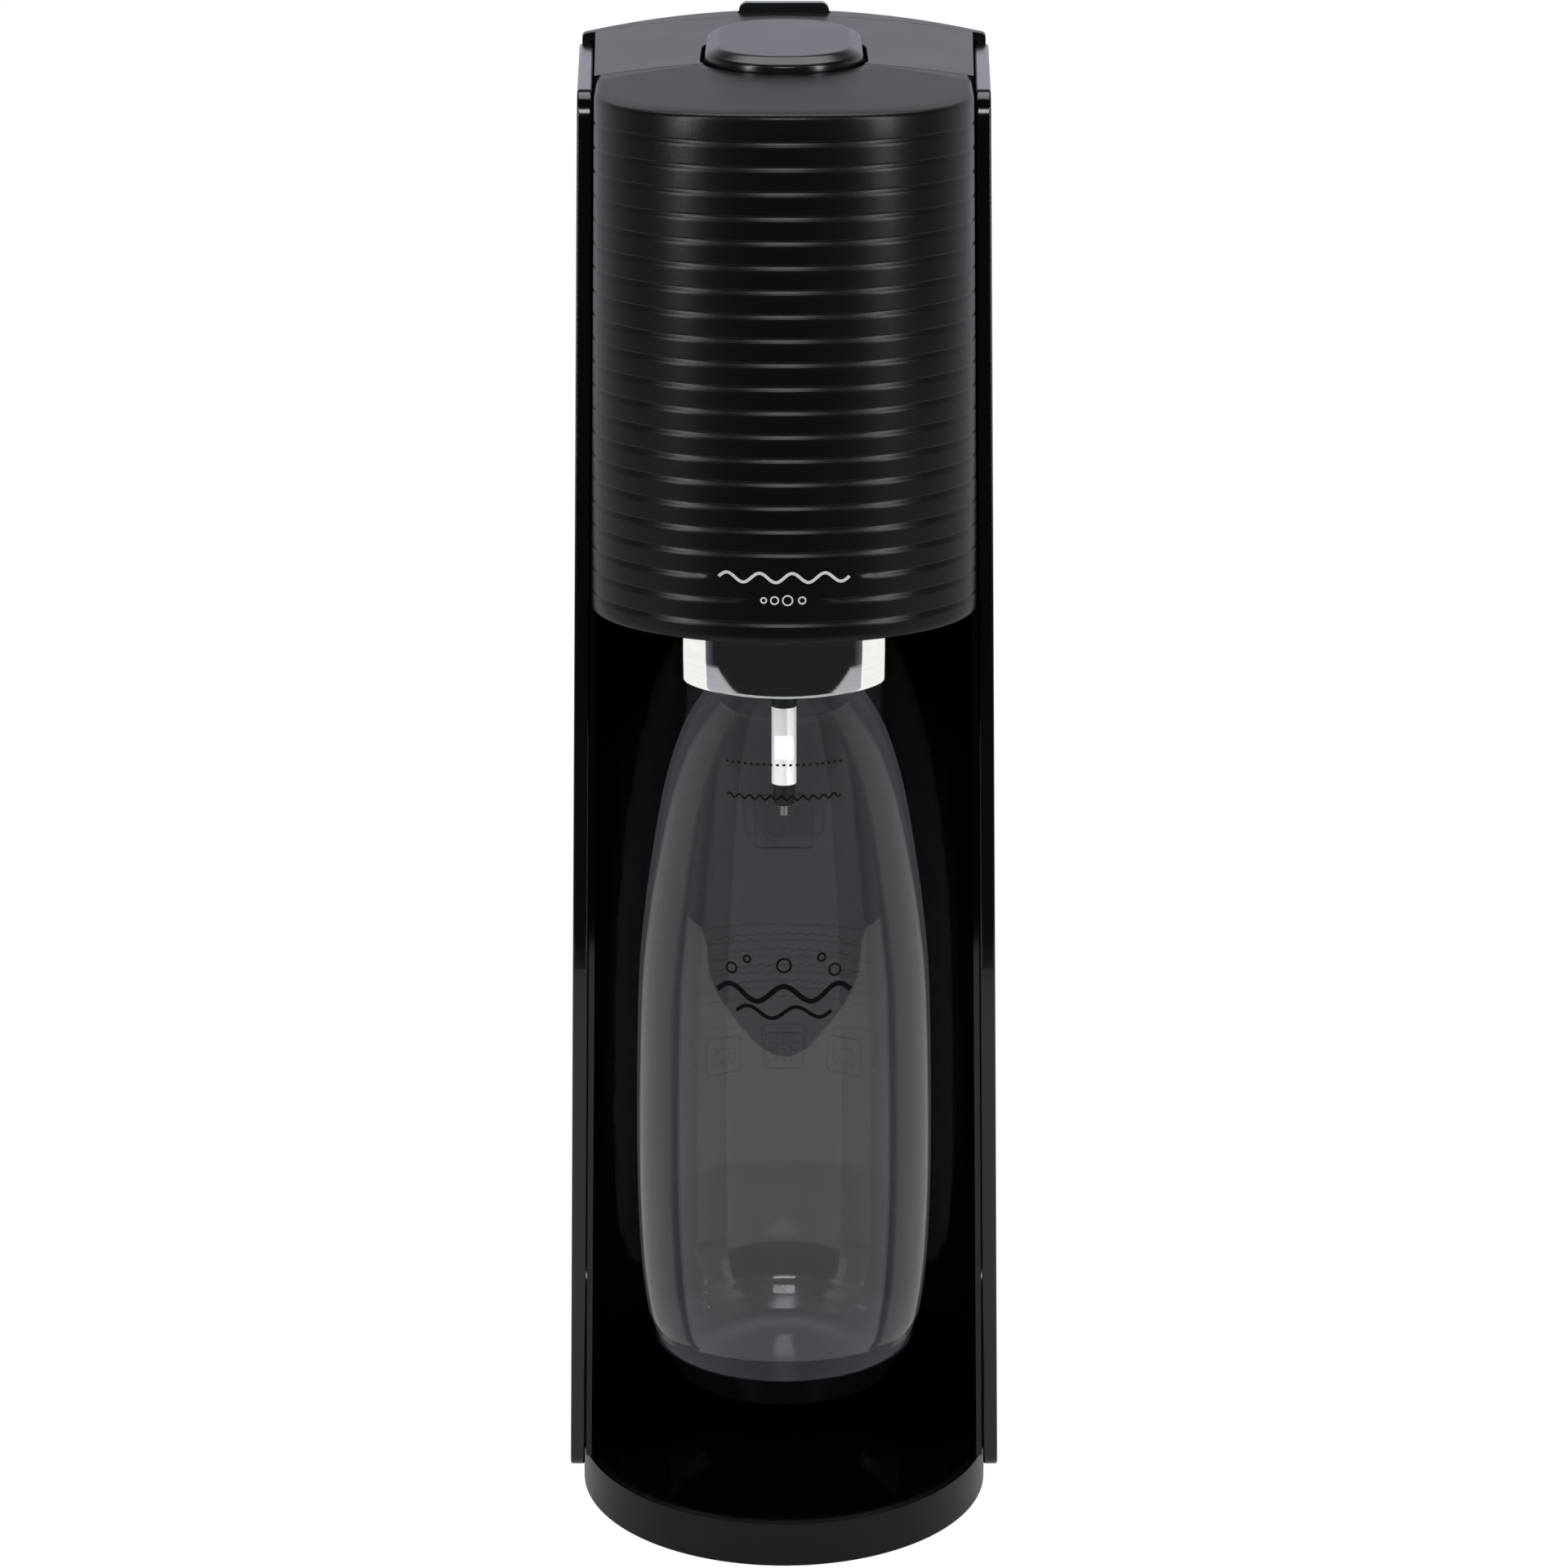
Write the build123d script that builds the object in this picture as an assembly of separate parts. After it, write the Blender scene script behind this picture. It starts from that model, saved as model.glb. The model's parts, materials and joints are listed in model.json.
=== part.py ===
from build123d import *
import math
import os

# Countertop soda carbonator, millimetres, +Z up, front towards -Y.
# The origin is the middle of the footprint on the surface it stands on.

# Overall sizes
body_depth = 190.0
bay_height = 266.5
head_height = 152.0
foot_height = 1.2
plinth_height = 14.3
clearance = 0.3

# Side panels: each outer face leans in towards the top and toes out towards the rear
panel_half_width = 64.9
panel_thickness = 4.3
panel_lean = 0.0192
panel_flare = 0.041
panel_front_inset = 37.0
panel_top_setback = 23.0
panel_straight_height = 170.0
panel_rear_inset = 17.0
panel_top_drop = 8.0
panel_bottom = 14.0

# Head
head_bow = 43.0
head_front_inset_top = 2.0
head_front_inset_bottom = 4.0
head_wall = 2.5
roof_crown_radius = 340.0
roof_slope = 0.10
seam_inset = 65.0
rib_count = 21
rib_first_drop = 13.8
rib_pitch = 6.62
rib_groove = 0.9
rib_depth = 0.7

# Plinth, tray and bay
plinth_bow_share = 0.9507
plinth_side_inset = 3.2
plinth_wall = 2.5
tray_rim = 2.2
tray_gap = 0.6
tray_wall = 1.5
tray_depth = 5.0
liner_side_wall = 1.7
liner_back_wall = 2.2
liner_front_inset = 43.0
bay_bow = 57.0

# Carbon dioxide cylinder
cylinder_radius = 30.0
cylinder_neck_radius = 13.0
valve_radius = 12.0
cover_wall = 2.5
cylinder_rear_gap = 5.5
cylinder_front_gap = 3.8
dock_pivot_rise = 13.0
handle_angle = -35.0
handle_reach = 26.0
handle_pin_radius = 2.0
hose_radius = 3.0
hose_bend_share = 0.8
hose_second_bend = 22.0
screw_hole_radius = 1.6
screw_thread_radius = 1.55
screw_boss_radius = 3.6
post_radius = 3.8

# Bottle
bottle_radius = 44.5
bottle_wall = 1.3
bottle_rear_gap = 3.5
bottle_floor_gap = 20.1
bottle_neck_radius = 13.6
bottle_flange_radius = 16.5
neck_length = 31.0
heel_level = 0.0443

# Bottle holder and nozzle
collar_radius = 32.6
collar_wall = 1.6
collar_below_head = 25.0
collar_above_head = 5.0
holder_wall = 6.3
pivot_behind_axis = 32.0
pivot_above_head = 18.0
pivot_pin_radius = 3.0
running_gap = 0.05
hole_margin = 1.9
hole_reach = 7.5
nozzle_radius = 3.7
nozzle_core_radius = 2.9
nozzle_shoulder_drop = 36.0
nozzle_sleeve_length = 23.5
nozzle_end_length = 7.0

# Button and press lever
button_half_width = 22.2
button_straight = 28.0
button_front_inset = 50.8
button_gap = 1.5
button_chamfer = 3.7
button_slope = 0.0415
button_rise = 3.9
button_travel = 5.0
button_depth = 10.5
button_skirt_wall = 2.2
stem_radius = 5.0
stem_socket_drop = 2.5
spring_radius = 11.0
spring_wire = 0.8
spring_turns = 4
latch_half_width = 13.8
latch_depth = 14.0
latch_travel = 2.0
lever_drop = 37.0
lever_pivot_inset = 17.0
lever_pin_radius = 2.5
deck_drop = 86.0
deck_thickness = 3.0

# Positions worked out from the sizes above
front_y = -body_depth / 2
plinth_bow = plinth_bow_share * panel_half_width
rear_y = body_depth / 2
plinth_top = foot_height + plinth_height
head_bottom = plinth_top + bay_height
roof_top = head_bottom + head_height
panel_front_y = front_y + panel_front_inset
panel_rear_y = rear_y - panel_rear_inset
panel_top = roof_top - panel_top_drop
seam_y = front_y + seam_inset
cylinder_y = rear_y - cover_wall - cylinder_rear_gap - cylinder_radius
liner_rear_y = cylinder_y - cylinder_radius - cylinder_front_gap
bay_back_y = liner_rear_y - liner_back_wall
bay_centre_y = bay_back_y - bay_bow
liner_front_y = front_y + liner_front_inset
bottle_y = bay_back_y - bottle_rear_gap - bottle_radius
bottle_bottom = plinth_top + bottle_floor_gap
mouth_z = head_bottom + 11.0
neck_bottom = mouth_z - neck_length
bottle_height = mouth_z - bottle_bottom
heel_height = heel_level * bottle_height
holder_radius = collar_radius - collar_wall - 0.2
collar_bottom = head_bottom - collar_below_head
collar_top = head_bottom + collar_above_head
pivot_y = bottle_y + pivot_behind_axis
pivot_z = head_bottom + pivot_above_head
holder_top = head_bottom + 22.0
button_y = front_y + button_front_inset + button_half_width + button_straight / 2
deck_top = roof_top - deck_drop
lever_z = roof_top - lever_drop
lever_pivot_y = rear_y - lever_pivot_inset
pivot_bracket_inner = collar_radius + hole_margin
seam_floor = roof_top - head_wall - 6.0
dock_pivot_z = deck_top + dock_pivot_rise
cylinder_neck_z = deck_top - 6.0
nozzle_shoulder = head_bottom - nozzle_shoulder_drop
sleeve_end = nozzle_shoulder - nozzle_sleeve_length
nozzle_end_z = sleeve_end - nozzle_end_length
union_x = -(pivot_bracket_inner + 4 + 7.5)
hose_start = (-6.0, cylinder_y - 37.0, deck_top + 15.0)
hose_end = (union_x, pivot_y, pivot_z + 10.0)

BIG = 600.0


def panel_side(inset, z, y):
    """Half-width between the panel faces that lie this far inside the outer ones."""
    return panel_half_width - inset - panel_lean * z + panel_flare * (y - panel_front_y)


def between_panels(inset):
    """Tapered block bounded by both leaning, toed-out panel planes."""
    block = Box(BIG, BIG, 2 * BIG)
    for side in (1, -1):
        normal = (side, -panel_flare, panel_lean)
        plane = Plane(origin=(side * panel_side(inset, 0, 0), 0, 0), z_dir=normal)
        block -= plane * Box(4 * BIG, 4 * BIG, BIG, align=(Align.CENTER, Align.CENTER, Align.MIN))
    return block


def prism(face, low, high):
    """Plan face raised between two levels."""
    return Pos(0, 0, low) * extrude(face, high - low)


def block(x_low, x_high, y_low, y_high, z_low, z_high):
    """Box from its limits."""
    size = Box(x_high - x_low, y_high - y_low, z_high - z_low, align=Align.MIN)
    return Pos(x_low, y_low, z_low) * size


def disc(radius, low, high, x=0.0, y=0.0):
    """Upright cylinder between two levels."""
    size = Cylinder(radius, high - low, align=(Align.CENTER, Align.CENTER, Align.MIN))
    return Pos(x, y, low) * size


def crossbar(radius, x_low, x_high, y, z):
    """Cylinder lying along X."""
    return Pos((x_low + x_high) / 2, y, z) * Rot(0, 90, 0) * Cylinder(radius, x_high - x_low)


def ring(outer, inner, low, high, x=0.0, y=0.0):
    """Upright tube between two levels."""
    return disc(outer, low, high, x, y) - disc(inner, low - 1, high + 1, x, y)


def crown(top, slope):
    """Long barrel whose crest is the roof line; the slope tips it about the seam."""
    barrel = Rot(90, 0, 0) * Cylinder(roof_crown_radius, BIG)
    tip = Rot(math.degrees(math.atan(slope)), 0, 0)
    return Pos(0, seam_y, top) * tip * Pos(0, 0, -roof_crown_radius) * barrel


def bow_front(half_width, centre_y, bow, rear):
    """Plan with a half-elliptic front and straight sides."""
    nose = EllipticalCenterArc((0, centre_y), half_width, bow, start_angle=180, arc_size=180)
    sides = Polyline((half_width, centre_y), (half_width, rear), (-half_width, rear), (-half_width, centre_y))
    return make_face(Curve() + [nose, sides])


def bow_back(half_width, centre_y, bow, front):
    """Plan with a half-elliptic back and straight sides."""
    back = EllipticalCenterArc((0, centre_y), half_width, bow, start_angle=0, arc_size=180)
    sides = Polyline((-half_width, centre_y), (-half_width, front), (half_width, front),
                     (half_width, centre_y))
    return make_face(Curve() + [back, sides])


def obround(half_width, straight):
    """Plan of the button: straight sides and round ends, along Y."""
    middle = Rectangle(2 * half_width, straight)
    ends = [Pos(0, side * straight / 2) * Circle(half_width) for side in (1, -1)]
    return Pos(0, button_y) * (middle + ends)


# Plinth

def plinth_plan(inset):
    """Footprint: round front, flared sides and a shallow bowed rear."""
    side_front = panel_half_width - plinth_side_inset - inset
    centre_y = front_y + plinth_bow
    side_rear = side_front + panel_flare * (panel_rear_y - centre_y)
    nose = EllipticalCenterArc((0, centre_y), side_front, plinth_bow - inset, start_angle=180, arc_size=180)
    right = Line((side_front, centre_y), (side_rear, panel_rear_y))
    back = ThreePointArc((side_rear, panel_rear_y), (0, rear_y - inset), (-side_rear, panel_rear_y))
    left = Line((-side_rear, panel_rear_y), (-side_front, centre_y))
    return make_face(Curve() + [nose, right, back, left])


def tray_space(inset, low, high):
    """Room for the tray: the plinth's front outline cut by the bay's outline."""
    half = panel_side(panel_thickness + clearance + liner_side_wall, plinth_top, liner_front_y)
    rim = prism(plinth_plan(tray_rim + inset), low, high)
    bay = prism(bow_back(half - inset, bay_centre_y, bay_bow - inset, front_y), low, high)
    return rim & bay


screw_places = [(x, y) for x in (-32, 32) for y in (front_y + 37, rear_y - 40)]


def base_plinth():
    solid = prism(plinth_plan(0), foot_height, plinth_top)
    solid = chamfer(solid.faces().sort_by(Axis.Z)[-1].edges(), 0.8)
    solid -= prism(plinth_plan(plinth_wall), foot_height - 1, plinth_top - tray_depth - 2.2)
    solid -= tray_space(0, plinth_top - tray_depth, plinth_top + 5)
    ledge = prism(Rectangle(BIG, BIG), panel_bottom - clearance, plinth_top + 5)
    solid -= ledge - between_panels(panel_thickness + clearance)
    boss_top = plinth_top - tray_depth - 2
    for x, y in screw_places:
        solid += ring(screw_boss_radius, screw_hole_radius, foot_height + 2.2, boss_top, x, y)
    return solid


def drip_tray():
    low = plinth_top - tray_depth + 0.1
    outer = tray_space(tray_gap, low, plinth_top - 0.3)
    return outer - tray_space(tray_gap + tray_wall, low + tray_wall, plinth_top + 5)


foot_places = [(x, y) for x in (-40, 40) for y in (front_y + 45, rear_y - 25)]


def base_plate():
    plate = prism(plinth_plan(plinth_wall + clearance), foot_height, foot_height + 2)
    for x, y in screw_places:
        plate -= disc(1.8, 0, 10, x, y) + disc(3.4, 0, foot_height + 1.1, x, y)
    for x, y in foot_places:
        plate -= disc(7.1, 0, foot_height + 0.8, x, y)
    return plate


def rubber_feet():
    return [chamfer(disc(7, 0, foot_height + 0.8, x, y).edges().sort_by(Axis.Z)[0], 0.4)
            for x, y in foot_places]


def base_screws():
    low = foot_height + 0.15
    return [disc(3.1, low, low + 0.9, x, y) + disc(screw_thread_radius, low, low + 6, x, y)
            for x, y in screw_places]


# Casing

def side_panel(side):
    """Flat plate between two leaning planes, cut to its side outline."""
    bend_z = plinth_top + panel_straight_height
    top_front_y = panel_front_y + panel_top_setback
    outline = Polyline((panel_front_y, panel_bottom), (panel_front_y, bend_z), (top_front_y, panel_top),
                       (panel_rear_y, panel_top), (panel_rear_y, panel_bottom), close=True)
    face = make_face(outline)
    corners = face.vertices()
    bend = corners.sort_by_distance((panel_front_y, bend_z))[0]
    top_front = corners.sort_by_distance((top_front_y, panel_top))[0]
    others = [v for v in corners if v not in (bend, top_front)]
    face = fillet(others, 5)
    face = fillet(face.vertices().sort_by_distance((top_front_y, panel_top))[0], 8)
    face = fillet(face.vertices().sort_by_distance((panel_front_y, bend_z))[0], 220)
    plate = extrude(Plane.YZ * face, amount=BIG / 4)
    plate = plate & between_panels(0)
    plate -= between_panels(panel_thickness)
    plate = fillet(plate.edges().filter_by(lambda e: e.length > 3 * panel_thickness), 0.7)
    return plate if side > 0 else mirror(plate, Plane.YZ)


def bay_shape(wall, back_wall, front, low, high):
    """Concave bay, narrowing upwards with the panels."""
    faces = []
    for z in (low, high):
        half = panel_side(panel_thickness + clearance + liner_side_wall, z, liner_front_y) + wall
        faces.append(Pos(0, 0, z) * bow_back(half, bay_centre_y, bay_bow + back_wall, front))
    return loft(Sketch() + faces, ruled=True)


def bay_liner():
    low = plinth_top + 0.2
    outer = bay_shape(liner_side_wall, liner_back_wall, liner_front_y, low, head_bottom)
    return outer - bay_shape(0, 0, front_y - 40, low - 5, head_bottom + 5)


def head_shape(inset, low, high):
    """Head outline: half-elliptic front with straight sides, tapering with the panels."""
    faces = []
    for z, front_inset in ((head_bottom, head_front_inset_bottom), (roof_top, head_front_inset_top)):
        front = front_y + front_inset
        half = panel_side(panel_thickness + 0.5, z, front + head_bow)
        faces.append(Pos(0, 0, z) * bow_front(half - inset, front + head_bow, head_bow - inset, seam_y))
    body = loft(Sketch() + faces, ruled=True)
    return body & prism(Rectangle(BIG, BIG), low, high)


def front_roof(drop):
    """Everything under the front part of the roof."""
    return crown(roof_top - drop, roof_slope)


def rear_roof(drop):
    """Everything under the level rear part of the roof."""
    return crown(roof_top - drop, 0)


head_side_y = front_y + head_front_inset_bottom + head_bow
boss_x = panel_side(panel_thickness + 0.5, head_bottom, head_side_y) - head_wall - 3.0
boss_places = [(x, front_y + 48) for x in (-boss_x, boss_x)]


def head_front_shell():
    """Ribbed front of the head, open behind and below."""
    outer = head_shape(0, head_bottom, roof_top) & front_roof(0)
    skin = head_shape(-2, head_bottom, roof_top) - head_shape(rib_depth, head_bottom, roof_top)
    grooves = []
    for rib in range(rib_count):
        z = roof_top - rib_first_drop - rib * rib_pitch
        slab = block(-BIG, BIG, -BIG, seam_y - 3, z - rib_groove / 2, z + rib_groove / 2)
        grooves += (slab & skin).solids()
    shell = outer - grooves
    shell -= head_shape(head_wall, head_bottom, roof_top) & front_roof(head_wall)
    opening = panel_side(panel_thickness + 0.5, roof_top, seam_y) - head_wall
    shell -= block(-opening, opening, seam_y - head_wall, seam_y + 1, 0, seam_floor)
    for x, y in boss_places:
        shell += ring(screw_boss_radius, screw_hole_radius, head_bottom + 3, head_bottom + 13, x, y)
    return shell - button_hole()


def button_hole():
    return prism(obround(button_half_width + button_gap, button_straight), roof_top - 30, roof_top + 20)


def head_bottom_plate():
    """Closes the head from below, with a slot for the collar's swing."""
    centre_y = front_y + head_front_inset_bottom + head_bow
    half = panel_side(panel_thickness + 0.5, head_bottom, centre_y) - head_wall - clearance
    plan = bow_front(half, centre_y, head_bow - head_wall - clearance, bay_back_y + liner_back_wall)
    plate = prism(plan, head_bottom + 0.2, head_bottom + 2.7)
    radius = collar_radius + hole_margin
    slot = disc(radius, 0, BIG, 0, bottle_y) + disc(radius, 0, BIG, 0, bottle_y - hole_reach)
    slot += block(-radius, radius, bottle_y - hole_reach, bottle_y, 0, BIG)
    plate -= slot
    for x, y in boss_places:
        plate -= disc(1.8, 0, BIG, x, y)
    return plate


def shell_screws():
    z = head_bottom
    return [disc(3, z - 0.9, z + 0.1, x, y) + disc(screw_thread_radius, z - 0.5, z + 10, x, y)
            for x, y in boss_places]


def top_cover():
    """Rear part of the roof, between the panels, with a short skirt."""
    low = panel_top - 10
    plan = block(-BIG / 2, BIG / 2, seam_y + 0.4, panel_rear_y - clearance, low, roof_top)
    outer = plan & between_panels(panel_thickness + 0.5) & rear_roof(0)
    cavity = block(-BIG / 2, BIG / 2, seam_y - 5, panel_rear_y + 5, low - 1, roof_top)
    inner = cavity & between_panels(panel_thickness + 0.5 + head_wall) & rear_roof(head_wall)
    cover = outer - inner - button_hole()
    for x, y in post_places:
        cover += ring(post_radius, screw_hole_radius, roof_top - 16, roof_top - 3.9, x, y)
    return cover


def rear_plan(inset):
    """Bowed strip behind the panels."""
    half = panel_side(0, 0, panel_rear_y) + 6
    edge_y = panel_rear_y + 1.5
    arc = ThreePointArc((half, edge_y - inset), (0, rear_y - inset), (-half, edge_y - inset))
    front = panel_rear_y + clearance
    sides = Polyline((-half, edge_y - inset), (-half, front), (half, front), (half, edge_y - inset))
    if inset > 0:
        sides = Polyline((-half, edge_y - inset), (-half, 0), (half, 0), (half, edge_y - inset))
    return make_face(Curve() + [arc, sides])


def rear_cover():
    low = plinth_top + 0.3
    outer = prism(rear_plan(0), low, roof_top) & between_panels(0.8) & rear_roof(0)
    outer = fillet(outer.edges().filter_by(lambda e: e.center().Z > roof_top - 15
                   and e.center().Y > panel_rear_y + 3), 1.5)
    inner = prism(rear_plan(cover_wall), low - 1, roof_top)
    inner = inner & between_panels(0.8 + cover_wall) & rear_roof(cover_wall)
    return outer - inner - latch_shape(0.4, 5, latch_travel + 0.5)


def latch_shape(gap, above, below):
    """Thumb tab on the rear cover, standing just proud of the roof."""
    half = latch_half_width + gap
    low, high = roof_top - latch_depth - below, roof_top + 2.8 + above
    return block(-half, half, rear_y - 8 - gap, rear_y - 2.8 + gap, low, high)


def cover_latch():
    tab = latch_shape(0, 0, 0)
    tab = fillet(tab.edges().filter_by(Axis.Y).sort_by(Axis.Z)[-2:], 2.4)
    lip = block(-latch_half_width - 3.2, latch_half_width + 3.2, rear_y - 8, rear_y - 5.4,
                roof_top - latch_depth, roof_top - latch_depth / 2)
    return tab + lip


# Frame inside

def column(side):
    """Channel-section upright beside the cylinder."""
    low_x, high_x = cylinder_radius + 6, cylinder_radius + 16
    front, rear = liner_rear_y + 0.8, cylinder_y - 1
    outer = block(low_x, high_x, front, rear, plinth_top, deck_top - deck_thickness)
    inner = block(low_x - 1, high_x - 2, front + 2, rear - 2, plinth_top + 2, deck_top - 5)
    solid = outer - inner
    return solid if side > 0 else mirror(solid, Plane.YZ)


post_places = [(x, y) for x in (-41, 41) for y in (cylinder_y - 37, cylinder_y + 4)]


def head_deck():
    """Shelf on the columns that carries the gas fittings, posts and pivots."""
    low = deck_top - deck_thickness
    wide = cylinder_radius + 16
    deck = block(-wide, wide, pivot_y + 11, cylinder_y + 23, low, deck_top)
    bracket = pivot_bracket_inner + 4
    deck += block(-bracket, bracket, pivot_y - 13, pivot_y + 12, low, deck_top)
    deck -= block(-26.5, 26.5, cylinder_y - 13, cylinder_y + 40, low - 1, deck_top + 1)
    for side in (1, -1):
        inner, outer = sorted((side * pivot_bracket_inner, side * (pivot_bracket_inner + 4)))
        deck += block(inner, outer, pivot_y - 9, pivot_y + 9, pivot_z - 9, low + 0.5)
        inner, outer = sorted((side * 28, side * 31))
        deck += block(inner, outer, lever_pivot_y - 8, lever_pivot_y + 6, low, lever_z + 6)
    deck -= crossbar(pivot_pin_radius, -BIG, BIG, pivot_y, pivot_z)
    deck -= crossbar(lever_pin_radius, -BIG, BIG, lever_pivot_y, lever_z)
    for x, y in post_places:
        deck += ring(post_radius, screw_hole_radius, deck_top - 0.5, roof_top - 16, x, y)
        deck -= disc(screw_hole_radius, 0, BIG, x, y)
    return deck


def deck_screws():
    low = deck_top - deck_thickness
    return [disc(3, low - 1.2, low, x, y) + disc(screw_thread_radius, low - 1, roof_top - 8, x, y)
            for x, y in post_places]


def cylinder_cradle():
    outer = disc(cylinder_radius + 2.5, plinth_top, plinth_top + 9, 0, cylinder_y)
    return outer - disc(cylinder_radius + 0.4, plinth_top + 2, plinth_top + 20, 0, cylinder_y)


def revolve_about(face, y):
    """Turned part on an upright axis at this y."""
    return Pos(0, y, 0) * revolve(Plane.XZ * face, Axis.Z)


def cylinder_body():
    low, neck = plinth_top + 2.1, cylinder_neck_z
    wall_top, inset = neck - 24, 3.0
    side = Line((cylinder_radius, low + inset), (cylinder_radius, wall_top))
    dome = Spline((cylinder_radius, wall_top), (24, neck - 9), (cylinder_neck_radius, neck - 3),
                  tangents=[(0, 1), (-0.5, 1)])
    rest = Polyline((cylinder_neck_radius, neck - 3), (cylinder_neck_radius, neck), (0, neck), (0, low),
                    (cylinder_radius - inset, low), (cylinder_radius, low + inset))
    return revolve_about(make_face(Curve() + [side, dome, rest]), cylinder_y)


def cylinder_valve():
    valve = disc(valve_radius, cylinder_neck_z, deck_top + 16.5, 0, cylinder_y)
    return valve - ring(valve_radius + 1, valve_radius - 1.5, deck_top + 8, deck_top + 10, 0, cylinder_y)


def cylinder_dock():
    """Socket that seals on the cylinder valve, with its foot and gas outlet."""
    y = cylinder_y
    dock = disc(18, deck_top + 2, deck_top + 24, 0, y)
    dock += block(-10, 10, y - 18, y - 7, deck_top + 2, deck_top + 24)
    dock += block(-36, 36, y - 24, y - 9, deck_top, deck_top + 3.5)
    dock -= disc(valve_radius + 0.1, deck_top - 1, deck_top + 19, 0, y)
    dock -= disc(2.6, deck_top, deck_top + 30, 0, y)
    dock -= crossbar(handle_pin_radius, -BIG, -13.5, y, dock_pivot_z)
    return dock - crossbar(handle_pin_radius, 13.5, BIG, y, dock_pivot_z)


def handle_lever_pins():
    return [crossbar(handle_pin_radius, low, low + 10.9, cylinder_y, dock_pivot_z) for low in (13.6, -24.5)]


def cylinder_lever():
    """U-shaped handle that lifts and seats the cylinder."""
    tip_y = cylinder_y + handle_reach * math.cos(math.radians(handle_angle))
    tip_z = dock_pivot_z + handle_reach * math.sin(math.radians(handle_angle))
    solid = crossbar(3.2, -23, 23, tip_y, tip_z)
    for side in (1, -1):
        low_x, high_x = sorted((side * 19, side * 23))
        middle_x = (low_x + high_x) / 2
        arm = Box(4, handle_reach, 6)
        at = Pos(middle_x, (cylinder_y + tip_y) / 2, (dock_pivot_z + tip_z) / 2)
        solid += at * Rot(handle_angle, 0, 0) * arm
        solid += crossbar(5.5, low_x, high_x, cylinder_y, dock_pivot_z)
    return solid - crossbar(handle_pin_radius + running_gap, -BIG, BIG, cylinder_y, dock_pivot_z)


def manifold_block():
    y = cylinder_y
    body = block(-10, 10, y - 34, y - 18, deck_top + 4, deck_top + 22)
    return chamfer(body.edges().filter_by(Axis.Z), 1)


def relief_valve():
    y, z = cylinder_y - 26, deck_top + 13
    hexagon = extrude(Plane.YZ.offset(10) * Pos(y, z) * RegularPolygon(6, 6), 5)
    return hexagon + crossbar(4, 15, 24, y, z) + crossbar(2.2, 24, 28, y, z)


def gas_hose():
    """Pressure hose from the manifold to the rotary union on the holder's pivot."""
    x, y, z = hose_start
    route = FilletPolyline(hose_start, (x, pivot_y, z), (union_x, pivot_y, z), hose_end,
                           radius=[hose_bend_share * (y - pivot_y), hose_second_bend])
    section = Plane(origin=hose_start, z_dir=(0, -1, 0)) * Circle(hose_radius)
    return sweep(section, path=route)


def hose_fittings():
    x, y, z = hose_start
    front = Pos(x, (y + cylinder_y - 34) / 2, z) * Rot(90, 0, 0) * Cylinder(4.2, cylinder_y - 34 - y)
    union = block(union_x - 4.5, union_x + 7.3, pivot_y - 5.5, pivot_y + 5.5, pivot_z - 5.5, pivot_z + 5.5)
    return [front, union + disc(4.2, pivot_z + 5, pivot_z + 10, union_x, pivot_y)]


def lever_pivot_pin():
    return crossbar(lever_pin_radius, -32, 32, lever_pivot_y, lever_z)


def holder_pivot_pins():
    inner = pivot_bracket_inner - 9
    outer = pivot_bracket_inner + 4.15
    return [crossbar(pivot_pin_radius, *sorted((s * inner, s * outer)), pivot_y, pivot_z) for s in (1, -1)]


# Button and press lever

def button_face(drop):
    """Large block whose top is the button's sloping face."""
    tip = Rot(math.degrees(math.atan(button_slope)), 0, 0)
    size = Box(BIG, BIG, BIG, align=(Align.CENTER, Align.CENTER, Align.MAX))
    return Pos(0, button_y, roof_top + button_rise - drop) * tip * size


def button_cap():
    low = roof_top - button_depth
    plan = obround(button_half_width, button_straight)
    solid = prism(plan, low, roof_top + 20) & button_face(0)
    top = solid.faces().filter_by(lambda f: f.center().Z > roof_top).sort_by(Axis.Z)[-1]
    solid = chamfer(top.edges(), 2.0, button_chamfer, reference=top)
    hollow = prism(obround(button_half_width - button_skirt_wall, button_straight), low - 1, roof_top + 20)
    solid -= hollow & button_face(4.2)
    boss = disc(7.5, low, roof_top + 3, 0, button_y) & button_face(2)
    return solid + boss - disc(stem_radius, low - 1, roof_top - stem_socket_drop, 0, button_y)


def button_stem():
    """Push rod with a round end that bears on the lever."""
    low = lever_z + 5 + 0.2
    rod = disc(stem_radius, low + stem_radius, roof_top - stem_socket_drop, 0, button_y)
    return rod + Pos(0, button_y, low + stem_radius) * Sphere(stem_radius)


def button_guide():
    """Cup under the roof that guides the button and seats its spring."""
    floor = roof_top - button_depth - button_travel - 4.5
    outer = prism(obround(button_half_width + button_gap + 2.6, button_straight), floor, roof_top + 5)
    solid = outer & front_roof(head_wall + 0.1) & rear_roof(head_wall + 0.1)
    solid -= prism(obround(button_half_width + button_gap + 0.4, button_straight), floor + 2, roof_top + 9)
    solid += disc(stem_radius + 2.5, floor - 6, floor + 4, 0, button_y)
    return solid - disc(stem_radius + clearance, 0, BIG, 0, button_y)


def button_spring():
    low = roof_top - button_depth - button_travel - 1.6
    high = roof_top - 1.2
    pitch = (high - low) / spring_turns
    path = Helix(pitch, high - low, spring_radius, center=(0, button_y, low))
    section = Plane(origin=path @ 0, z_dir=path % 0) * Circle(spring_wire)
    return sweep(section, path=path, is_frenet=True)


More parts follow.
